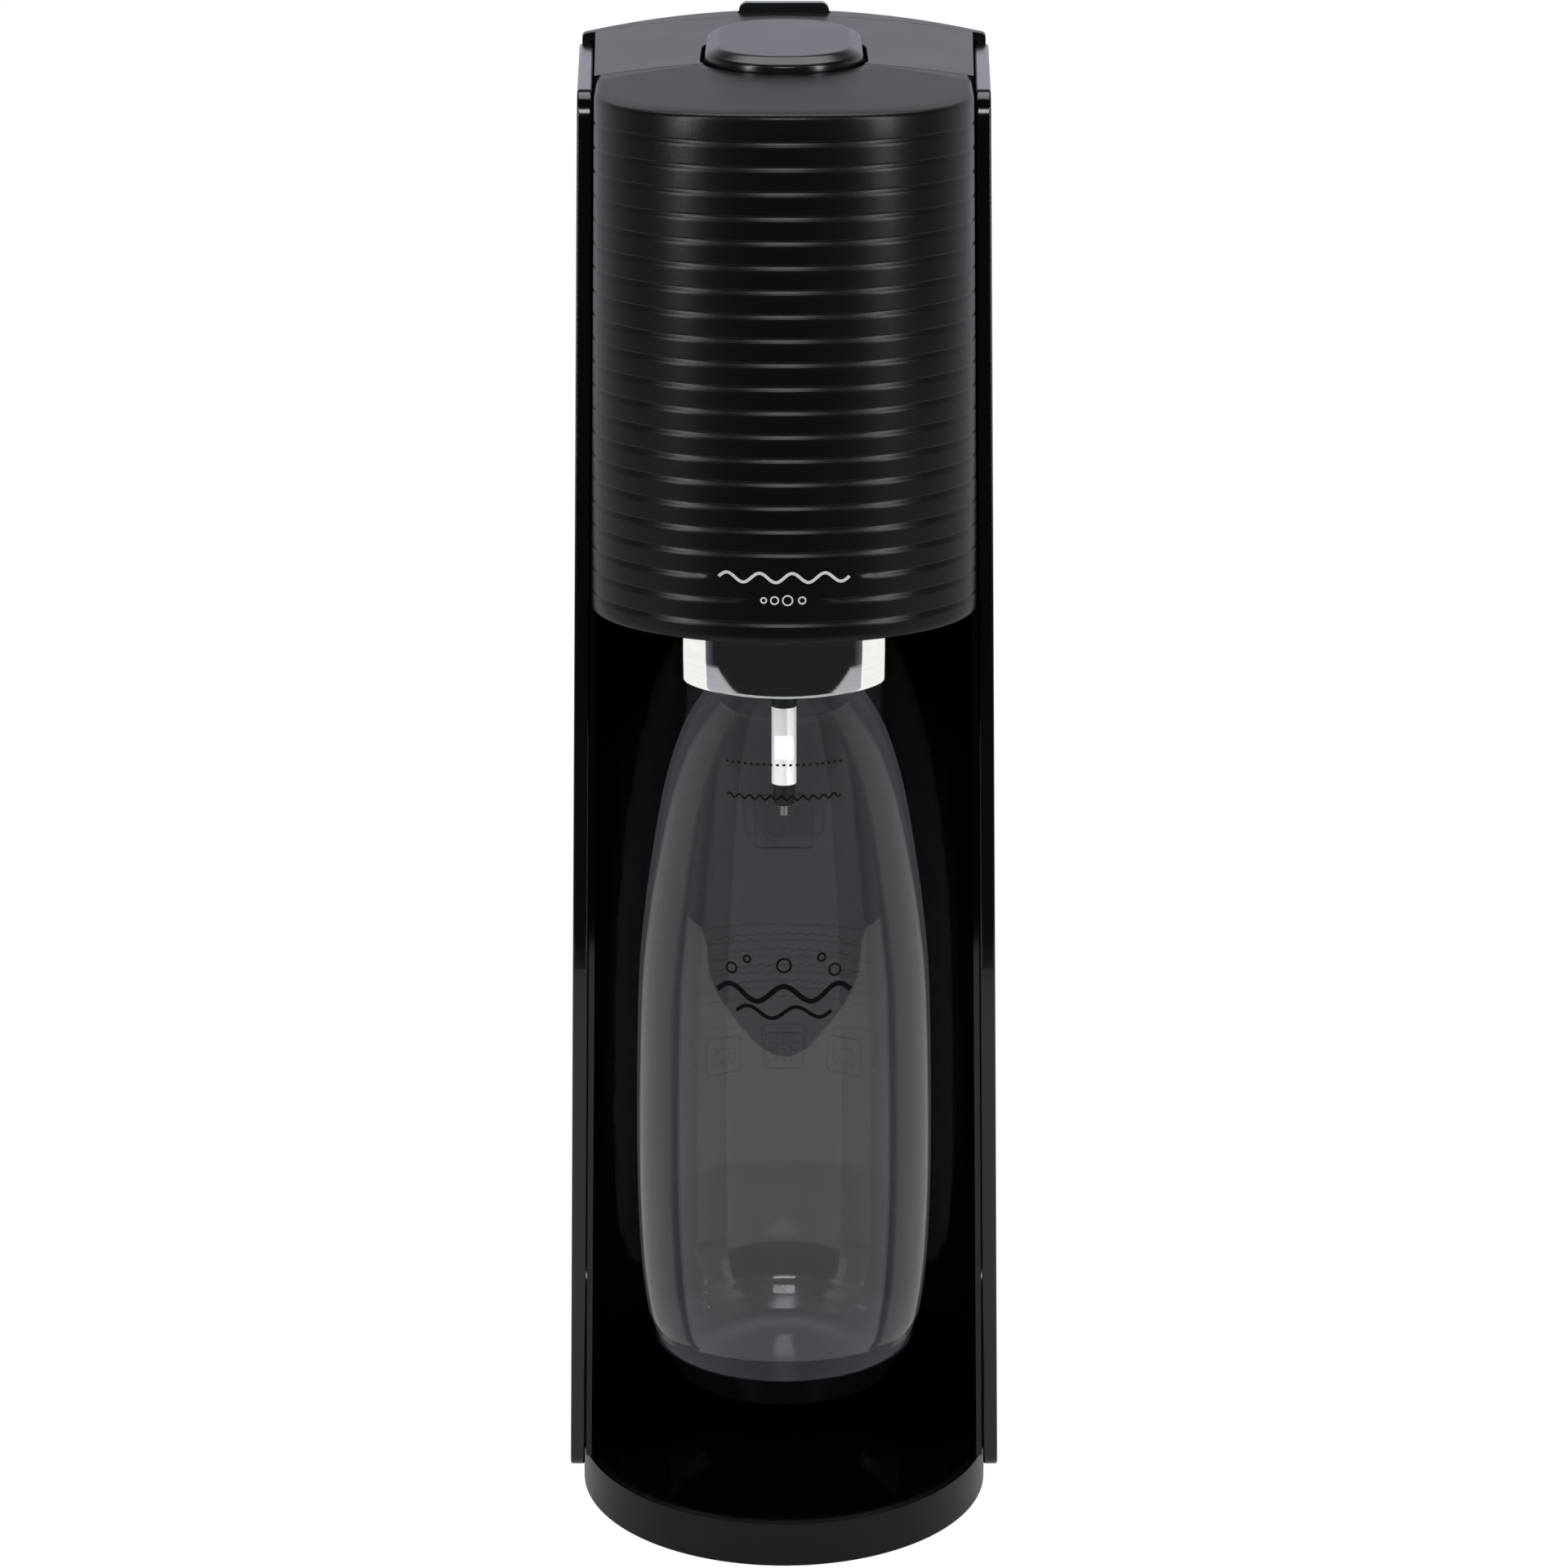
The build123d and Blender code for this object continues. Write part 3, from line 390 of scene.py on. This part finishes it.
def headShell():
    rimLine = headOutline(head["shoulder"], head["rim"])
    count = len(rimLine)
    hole = holeEdge(count)
    wall = head["wall"]

    def between(share):
        return [(hx + (ox - hx) * share, hy + (oy - hy) * share) for (hx, hy), (ox, oy) in zip(hole, rimLine)]

    def onRoof(points, drop):
        return [(mm(x), mm(y), mm(roofHeight(x, y) - drop)) for x, y in points]

    def level(z, inset):
        return [(mm(x), mm(y), mm(z)) for x, y in headOutline(z, inset)]

    edgeInset = head["holeEdge"][0][0]
    rings = [onRoof(hole, wall), onRoof(hole, edgeInset)]
    for step, drop in head["holeEdge"]:
        pulled = []
        for (hx, hy), (ox, oy) in zip(hole, rimLine):
            reach = math.hypot(ox - hx, oy - hy)
            pulled.append((hx + (ox - hx) * step / reach, hy + (oy - hy) * step / reach))
        rings.append(onRoof(pulled, drop))
    for part in range(1, head["roofSteps"]):
        rings.append(onRoof(between(part / head["roofSteps"]), 0))
    for i in range(head["rimSteps"] + 1):
        turn = math.pi / 2 * i / head["rimSteps"]
        inset = head["rim"] * (1 - math.sin(turn))
        rings.append(onRoof(headOutline(head["shoulder"], inset), head["rim"] * (1 - math.cos(turn))))
    for rib in range(head["ribCount"]):
        for above, depth in ribSection:
            z = head["firstRib"] - rib * head["ribPitch"] + above
            ring = []
            for (x, y), (ix, iy) in zip(headOutline(z, 0), headOutline(z, head["ribDepth"])):
                share = depth * ribFade(rib, x)
                ring.append((mm(x + (ix - x) * share), mm(y + (iy - y) * share), mm(z)))
            rings.append(ring)
    rings += [level(head["low"] + above, inset) for above, inset in lowerEdge]
    rings += [level(z, wall) for z in head["wallLevels"]]
    rings.append(onRoof(headOutline(head["shoulder"], wall + 0.4), wall + 0.4))
    rings.append([(mm(x), mm(y), mm(roofHeight(hx, hy) - wall))
                  for (x, y), (hx, hy) in zip(between(0.1), hole)])

    bm = bmesh.new()
    skins = bridgeRings(bm, rings, False)
    for i in range(count - 1):
        bm.faces.new((skins[-1][i], skins[-1][i + 1], skins[0][i + 1], skins[0][i]))
    for end in (0, -1):
        bm.faces.new([skin[end] for skin in skins])
    smoothShade(bm)
    return addPiece("headShell", bm, "housing", "satin_black", "head_front_shell")


headShell()
print("head shell built")


# push button: obround rings with a wide chamfer

button = {"centreY": -8.0, "half": 22.2, "straight": 28.0, "low": 423.5, "top": 437.9, "slope": 0.0415,
          "chamfer": 3.7, "drop": 2.0, "wall": 2.2, "hollow": 8.0, "steps": 64}


def obroundRing(inset, zOffset, onFace):
    points = []
    radius = button["half"] - inset
    for side in (1, -1):
        for i in range(button["steps"] + 1):
            turn = math.pi * i / button["steps"] + (0 if side > 0 else math.pi)
            x = radius * math.cos(turn)
            y = button["centreY"] + side * button["straight"] / 2 + radius * math.sin(turn)
            level = button["top"] + button["slope"] * (y - button["centreY"]) if onFace else 0
            points.append((mm(x), mm(y), mm(level + zOffset)))
    return points


def buttonCap():
    chamfer, drop, low, wall = button["chamfer"], button["drop"], button["low"], button["wall"]
    run = chamfer / math.hypot(chamfer, drop)
    rise = drop / math.hypot(chamfer, drop)
    # skirt from the inside round to the outside: inset, level
    skirt = [(wall, low + button["hollow"]), (wall, low + 0.3), (wall - 0.3, low), (0.3, low),
             (0.0, low + 0.3)]
    # edge and face: inset, level beside the sloping face
    face = [(0, -drop - 1.2), (0, -drop - 0.6), (0.08, -drop - 0.3), (0.28, -drop - 0.02),
            (0.6 * run, -drop + 0.6 * rise), (run, -drop + rise),
            (chamfer - 0.9 * run, -0.9 * rise), (chamfer - 0.5 * run, -0.5 * rise), (chamfer - 0.1, -0.14),
            (chamfer + 0.25, -0.03), (chamfer + 0.6, 0), (chamfer + 1.4, 0), (chamfer + 6, 0)]
    rings = [obroundRing(inset, level, False) for inset, level in skirt]
    rings += [obroundRing(inset, level, True) for inset, level in face]
    bm = bmesh.new()
    skins = bridgeRings(bm, rings, True)
    bm.faces.new(skins[-1])
    bm.faces.new(list(reversed(skins[0])))
    bmesh.ops.remove_doubles(bm, verts=bm.verts, dist=1e-7)
    smoothShade(bm, 50)
    return addPiece("buttonCap", bm, "button", "satin_black", "button_cap", finish="button_satin")


buttonCap()
print("button built")


# steel collar with a rolled lower lip

collar = {"radius": 32.6, "wall": 1.6, "low": 257.0, "high": 287.0, "axisY": -27.0, "lip": 0.8,
          "lipSteps": 12, "steps": 160}


def collarRing():
    outer, lip, low, high = collar["radius"], collar["lip"], collar["low"], collar["high"]
    inner = outer - collar["wall"]
    outline = [(outer - 0.25, high), (outer, high - 0.3), (outer, low + 2.6), (outer, low + 1.2)]
    for i in range(1, collar["lipSteps"]):
        turn = math.pi * i / collar["lipSteps"]
        outline.append((outer - lip + lip * math.cos(turn), low + lip - lip * math.sin(turn)))
    outline += [(inner, low + 1.2), (inner, high)]
    return spunPiece("steelCollar", outline, True, collar["axisY"], collar["steps"], 40,
                     "holder", "steel_band", "collar_ring")


collarRing()
print("collar built")


# clear bottle: outer and inner wall in one outline, turned about its axis, with flange and thread

bottle = {"axisY": -27.0, "base": 35.6, "height": 257.4, "radius": 44.5, "wall": 1.3, "footRise": 2.0,
          "neckRadius": 13.6, "neckJoint": (262.0, 265.5), "mouth": 293.0,
          "flangeLow": 268.5, "flangeHigh": 271.0, "flangeRadius": 16.5,
          "threadLevels": (277.0, 282.0, 287.0), "spanSteps": 6, "steps": 128}
# shares of the height and of the radius, from the heel to the shoulder
bottleSides = [(0.0443, 0.865), (0.064, 0.912), (0.087, 0.946), (0.149, 0.982), (0.25, 1.0), (0.382, 0.994),
               (0.495, 0.974), (0.569, 0.935), (0.619, 0.897), (0.685, 0.836), (0.735, 0.775), (0.79, 0.672),
               (0.833, 0.53), (0.858, 0.42)]
# section of one thread ring: added radius, level above its foot
threadSection = [(0, 0), (0.6, 0.2), (1.0, 0.8), (1.0, 1.2), (0.6, 1.8), (0, 2.0)]


def catmullRom(a, b, c, d, t):
    return 0.5 * (2 * b + (c - a) * t + (2 * a - 5 * b + 4 * c - d) * t * t
                  + (3 * b - a - 3 * c + d) * t ** 3)


def smoothCurve(points, perSpan):
    # passes through all the points
    padded = [points[0]] + list(points) + [points[-1]]
    result = []
    for span in zip(padded, padded[1:], padded[2:], padded[3:]):
        for i in range(perSpan):
            result.append(tuple(catmullRom(*values, i / perSpan) for values in zip(*span)))
    result.append(points[-1])
    return result


def bottleWall(inset):
    low, height, radius, neck = bottle["base"], bottle["height"], bottle["radius"], bottle["neckRadius"]
    floor = low + bottle["footRise"] + inset
    points = [(0.0, floor + 5), (0.3 * radius, floor + 3.4), (0.56 * radius, floor),
              (0.75 * radius - inset, floor + 2.9), (0.815 * radius - inset, floor + 6)]
    for level, share in bottleSides:
        points.append((share * radius - inset, low + level * height - 1.5 * inset * (1 - share)))
    jointLow, jointHigh = bottle["neckJoint"]
    points += [(neck + 0.9 - inset * 1.3, jointLow - inset), (neck - inset * 1.6, jointHigh)]
    return smoothCurve(points, bottle["spanSteps"])


def bottlePiece():
    neck, mouth = bottle["neckRadius"], bottle["mouth"]
    low, high, rim = bottle["flangeLow"], bottle["flangeHigh"], bottle["flangeRadius"]
    outline = bottleWall(0)
    outline += [(neck, low - 0.4), (neck + 0.5, low), (rim - 0.4, low), (rim, low + 0.4), (rim, high - 0.4),
                (rim - 0.4, high), (neck + 0.4, high), (neck, high + 0.4)]
    for level in bottle["threadLevels"]:
        outline += [(neck + added, level + above) for added, above in threadSection]
    outline += [(neck, mouth - 0.5), (neck - 0.3, mouth), (neck - 1.7, mouth), (neck - 2.08, mouth - 0.3)]
    outline += reversed(bottleWall(bottle["wall"]))
    return spunPiece("clearBottle", outline, False, bottle["axisY"], bottle["steps"], 180,
                     "bottle", "clear_bottle", "bottle_body")


bottlePiece()
print("bottle built")


# printed marks: flat strokes along paths of (u, v) just above a surface

marks = {"lift": {"head": 0.12, "bottle": 0.06},
         "headWave": (301.0, 36, 2.6, 4), "ringLevel": 294.6,
         "rings": ((-5.6, 0.75), (-2.6, 1.05), (1.0, 1.35), (5.0, 0.95)),
         "bubbles": ((-15.5, 178.5, 1.5), (-10.8, 181.5, 1.0), (15.0, 178.0, 1.7), (11.0, 182.0, 1.1),
                     (0, 180.0, 2.0)),
         "fillDashes": 9, "fillPitch": 1.9, "fillLevel": 237.0, "fillWave": (228.0, 34, 1.1, 11, 176),
         "emblemWaves": ((171.5, 40, 4.6, 2.5, 1.5), (166.0, 28, 3.4, 2, 1.1)),
         "careLevel": 198.0, "signLevel": 121.0, "signPlaces": (-20, 0, 20),
         "rowLevel": 160.0, "rowPitch": 5.2, "rows": 5}
bottleOuter = bottleWall(0)
sideStart = 2 * bottle["spanSteps"]  # the curve's first points lie under the bottle


def bottleRadiusAt(z):
    for (r0, z0), (r1, z1) in zip(bottleOuter[sideStart:], bottleOuter[sideStart + 1:]):
        if z0 <= z <= z1:
            return r0 + (r1 - r0) * (z - z0) / max(z1 - z0, 1e-6)
    return bottle["neckRadius"]


def onBottle(u, v, turn=0.0):
    # u runs round the bottle in millimetres, v is the height
    radius = bottleRadiusAt(v)
    angle = -math.pi / 2 + turn + u / radius
    radius += marks["lift"]["bottle"]
    return Vector((mm(radius * math.cos(angle)), mm(bottle["axisY"] + radius * math.sin(angle)), mm(v)))


def onBottleBack(u, v):
    return onBottle(u, v, math.pi)


def onHead(u, v):
    lift = marks["lift"]["head"]
    half = headHalf(v) + lift
    bow = head["bow"] + lift
    y = headFront(v) + head["bow"] - bow * math.sqrt(max(0.0, 1 - (u / half) ** 2))
    return Vector((mm(u), mm(y), mm(v)))


def strokeInto(bm, place, path, width, closed=False):
    count = len(path)
    pairs = []
    for i, (u, v) in enumerate(path):
        before = path[(i - 1) % count] if closed or i else path[i]
        after = path[(i + 1) % count] if closed or i < count - 1 else path[i]
        du, dv = after[0] - before[0], after[1] - before[1]
        size = math.hypot(du, dv) or 1.0
        nu, nv = -dv / size * width / 2, du / size * width / 2
        pairs.append((bm.verts.new(place(u + nu, v + nv)), bm.verts.new(place(u - nu, v - nv))))
    for i in range(count if closed else count - 1):
        j = (i + 1) % count
        bm.faces.new((pairs[i][0], pairs[j][0], pairs[j][1], pairs[i][1]))


def circlePath(u, v, radius, steps=24):
    return [(u + radius * math.cos(2 * math.pi * i / steps), v + radius * math.sin(2 * math.pi * i / steps))
            for i in range(steps)]


def squarePath(u, v, half, corner=1.6, perCorner=5):
    # square with round corners
    points = []
    for cornerU, cornerV, start in ((1, 1, 0), (-1, 1, 90), (-1, -1, 180), (1, -1, 270)):
        for i in range(perCorner + 1):
            turn = math.radians(start + 90 * i / perCorner)
            points.append((u + cornerU * (half - corner) + corner * math.cos(turn),
                           v + cornerV * (half - corner) + corner * math.sin(turn)))
    return points


def wavePath(v, length, height, waves, steps=96):
    # level wave centred on u = 0
    return [(-length / 2 + length * i / steps, v + height / 2 * math.sin(2 * math.pi * waves * i / steps))
            for i in range(steps + 1)]


def headMark():
    # generic wave over a row of bubbles
    bm = bmesh.new()
    strokeInto(bm, onHead, wavePath(*marks["headWave"]), 0.85)
    for u, radius in marks["rings"]:
        strokeInto(bm, onHead, circlePath(u, marks["ringLevel"], radius), 0.42, closed=True)
    return addPiece("headMark", bm, "housing", "mark_white")


def raySign(bm, u, v):
    # round-cornered square with a ring and eight rays in it
    strokeInto(bm, onBottleBack, squarePath(u, v, 6.0), 0.55, closed=True)
    strokeInto(bm, onBottleBack, circlePath(u, v, 2.4), 0.45, closed=True)
    for i in range(8):
        turn = math.pi * i / 4
        ray = [(u + reach * math.cos(turn), v + reach * math.sin(turn)) for reach in (3.0, 4.4)]
        strokeInto(bm, onBottleBack, ray, 0.45)


def careSign(bm, v):
    # larger square with two rings under a fan of five lines
    strokeInto(bm, onBottleBack, squarePath(0, v, 9.0), 0.6, closed=True)
    strokeInto(bm, onBottleBack, circlePath(3.0, v - 3.5, 3.2), 0.5, closed=True)
    strokeInto(bm, onBottleBack, circlePath(3.0, v - 3.5, 1.9), 0.4, closed=True)
    for i in range(-2, 3):
        strokeInto(bm, onBottleBack, [(i * 1.2, v + 6.2), (i * 2.2, v + 2.2)], 0.45)


def bottleMarks():
    bm = bmesh.new()
    for i in range(-marks["fillDashes"], marks["fillDashes"] + 1):
        u = i * marks["fillPitch"]
        strokeInto(bm, onBottle, [(u - 0.45, marks["fillLevel"]), (u + 0.45, marks["fillLevel"])], 0.6)
    strokeInto(bm, onBottle, wavePath(*marks["fillWave"]), 0.55)
    for v, length, height, waves, width in marks["emblemWaves"]:
        strokeInto(bm, onBottle, wavePath(v, length, height, waves), width)
    for u, v, radius in marks["bubbles"]:
        strokeInto(bm, onBottle, circlePath(u, v, radius), 0.6, closed=True)
    careSign(bm, marks["careLevel"])
    for u in marks["signPlaces"]:
        raySign(bm, u, marks["signLevel"])
    for row in range(marks["rows"]):
        length = 52 - 7 * (row % 2)
        v = marks["rowLevel"] - row * marks["rowPitch"]
        strokeInto(bm, onBottleBack, wavePath(v, length, 0.7, 13, 156), 0.55)
    return addPiece("bottleMarks", bm, "bottle", "mark_dark")


headMark()
bottleMarks()
print("marks built")


# coil spring under the button: a round wire section swept up a helix

spring = {"radius": 11.0, "wire": 0.8, "low": 416.9, "high": 432.8, "turns": 4, "centreY": -8.0,
          "perTurn": 36, "around": 10}


def coilSpring():
    bm = bmesh.new()
    around = [2 * math.pi * i / spring["around"] for i in range(spring["around"])]
    wire = spring["wire"]
    section = [(spring["radius"] + wire * math.cos(turn), spring["low"] + wire * math.sin(turn))
               for turn in around]
    spinOutline(bm, section, True, spring["centreY"], spring["turns"] * spring["perTurn"], spring["turns"],
                spring["high"] - spring["low"])
    bmesh.ops.holes_fill(bm, edges=[edge for edge in bm.edges if edge.is_boundary], sides=spring["around"])
    smoothShade(bm)
    obj = addPiece("buttonSpring", bm, "housing", "spring_steel", "button_spring")
    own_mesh(obj)
    return obj


coilSpring()
print("spring built")


# camera, light and floor, in metres

view = {"distance": 1.177, "height": 0.580, "pitchDown": 17.3, "lens": 93.7}


def placeCamera():
    data = bpy.data.cameras.new("camera")
    data.lens = view["lens"]
    data.sensor_width = 36
    camera = bpy.data.objects.new("camera", data)
    camera.location = (0, -view["distance"], view["height"])
    camera.rotation_euler = (math.radians(90 - view["pitchDown"]), 0, 0)
    bpy.context.scene.collection.objects.link(camera)
    bpy.context.scene.camera = camera


def softLight(name, place, aim, size, power, colour=(1, 1, 1)):
    data = bpy.data.lights.new(name, "AREA")
    data.shape = "RECTANGLE"
    data.size, data.size_y = size
    data.energy = power
    data.color = colour
    light = bpy.data.objects.new(name, data)
    light.location = place
    light.rotation_euler = (Vector(aim) - Vector(place)).to_track_quat("-Z", "Y").to_euler()
    bpy.context.scene.collection.objects.link(light)
    return light


room = {"front": 0.022, "back": 0.62, "frontEnd": -0.25, "backEnd": 0.6,
        "aboveShare": 0.12, "aboveStart": 0.30, "aboveEnd": 0.56, "tint": (0.93, 0.97, 1.08)}


def makeRoom():
    # white to the camera; in reflections the room is dark in front, pale behind and dim above
    world = bpy.data.worlds.new("studio")
    bpy.context.scene.world = world
    world.use_nodes = True
    tree = world.node_tree
    back = tree.nodes["Background"]
    where = tree.nodes.new("ShaderNodeTexCoord")
    split = tree.nodes.new("ShaderNodeSeparateXYZ")
    ramp = tree.nodes.new("ShaderNodeMapRange")
    setSockets(ramp, {"From Min": room["frontEnd"], "From Max": room["backEnd"],
                      "To Min": room["front"], "To Max": room["back"]})
    above = tree.nodes.new("ShaderNodeMapRange")
    setSockets(above, {"From Min": room["aboveStart"], "From Max": room["aboveEnd"],
                       "To Min": 1.0, "To Max": room["aboveShare"]})
    level = tree.nodes.new("ShaderNodeVectorMath")
    level.operation = "SCALE"
    level.inputs["Vector"].default_value = room["tint"]
    product = tree.nodes.new("ShaderNodeMath")
    product.operation = "MULTIPLY"
    path = tree.nodes.new("ShaderNodeLightPath")
    mix = tree.nodes.new("ShaderNodeMix")
    mix.data_type = "RGBA"
    mix.inputs["B"].default_value = (1, 1, 1, 1)
    tree.links.new(where.outputs["Generated"], split.inputs["Vector"])
    tree.links.new(split.outputs["Y"], ramp.inputs["Value"])
    tree.links.new(split.outputs["Z"], above.inputs["Value"])
    tree.links.new(ramp.outputs["Result"], product.inputs[0])
    tree.links.new(above.outputs["Result"], product.inputs[1])
    tree.links.new(product.outputs[0], level.inputs["Scale"])
    tree.links.new(level.outputs["Vector"], mix.inputs["A"])
    tree.links.new(path.outputs["Is Camera Ray"], mix.inputs["Factor"])
    tree.links.new(mix.outputs["Result"], back.inputs["Color"])


lights = {"strip": {"side": 1.0, "y": -0.80, "z": 0.75, "aim": (0, -0.05, 0.30), "size": (0.16, 1.1),
                    "power": 7.5},
          "card": {"side": 0.0528, "y": -0.025, "high": 0.281, "depth": 0.055, "colour": (1, 0.96, 0.9)},
          "collarCard": {"low": 0.215, "power": 0.015}, "bottleCard": {"low": 0.03, "power": 0.014}}


def receivers(label, wanted):
    # the pieces that a light reaches
    lit = bpy.data.collections.new(label)
    for obj in bpy.context.scene.objects:
        if obj.type == "MESH" and wanted(obj.name):
            lit.objects.link(obj)
    return lit


def sideCards(label, pieceName, low, power):
    # a pale card along each side wall of the bay, which only one piece sees
    card = lights["card"]
    lit = receivers(label, lambda name: name == pieceName)
    middle = (low + card["high"]) / 2
    for side in (-1, 1):
        light = softLight("sideCard", (side * card["side"], card["y"], middle), (0, card["y"], middle),
                          (card["depth"], card["high"] - low), power, card["colour"])
        light.visible_camera = False
        light.light_linking.receiver_collection = lit


def placeLights():
    strip = lights["strip"]
    allButClear = receivers("litByStrips", lambda name: name not in ("clearBottle", "steelCollar"))
    for side in (-1, 1):
        place = (side * strip["side"], strip["y"], strip["z"])
        light = softLight("strip", place, strip["aim"], strip["size"], strip["power"])
        light.light_linking.receiver_collection = allButClear
    softLight("frontHigh", (0, -1.7, 1.5), (0, 0, 0.3), (0.7, 0.5), 10)
    softLight("topSoft", (0, 0.35, 1.6), (0, 0, 0.4), (1.2, 0.9), 9)
    sideCards("litByCollarCards", "steelCollar", **lights["collarCard"])
    sideCards("litByBottleCards", "clearBottle", **lights["bottleCard"])
    nozzle = softLight("nozzleLight", (0, -0.5, 0.36), (0, -0.027, 0.235), (0.08, 0.08), 2.6)
    nozzle.visible_camera = False
    nozzle.light_linking.receiver_collection = receivers("litNozzle", lambda name: name == "nozzle_sleeve")


table = {"front": -0.56, "back": 1.6, "half": 1.5, "mirror": 0.38}


def makeFloor():
    # pale table: full white to the camera, a share of it in mirrors
    bm = bmesh.new()
    half = table["half"]
    corners = [(-half, table["front"]), (half, table["front"]), (half, table["back"]), (-half, table["back"])]
    bm.faces.new([bm.verts.new((x, y, 0)) for x, y in corners])
    mesh = bpy.data.meshes.new("floor")
    bm.to_mesh(mesh)
    bm.free()
    floor = bpy.data.objects.new("floor", mesh)
    bpy.context.scene.collection.objects.link(floor)
    mat, tree, shader = newMaterial("paleFloor")
    setSockets(shader, {"Base Color": (0.86, 0.86, 0.86, 1), "Roughness": 0.7})
    out = tree.nodes["Material Output"]
    glow = tree.nodes.new("ShaderNodeEmission")
    glow.inputs["Color"].default_value = (1, 1, 1, 1)
    mix = tree.nodes.new("ShaderNodeMixShader")
    path = tree.nodes.new("ShaderNodeLightPath")
    seen = tree.nodes.new("ShaderNodeMath")
    seen.operation = "MAXIMUM"
    mirror = tree.nodes.new("ShaderNodeMath")
    mirror.operation = "MULTIPLY"
    mirror.inputs[1].default_value = table["mirror"]
    tree.links.new(path.outputs["Is Glossy Ray"], mirror.inputs[0])
    tree.links.new(path.outputs["Is Camera Ray"], seen.inputs[0])
    tree.links.new(mirror.outputs[0], seen.inputs[1])
    tree.links.new(seen.outputs[0], mix.inputs["Fac"])
    tree.links.new(shader.outputs["BSDF"], mix.inputs[1])
    tree.links.new(glow.outputs["Emission"], mix.inputs[2])
    tree.links.new(mix.outputs["Shader"], out.inputs["Surface"])
    mesh.materials.append(mat)


placeCamera()
makeRoom()
placeLights()
makeFloor()
bpy.context.scene.view_settings.view_transform = "Standard"
print("stage set")
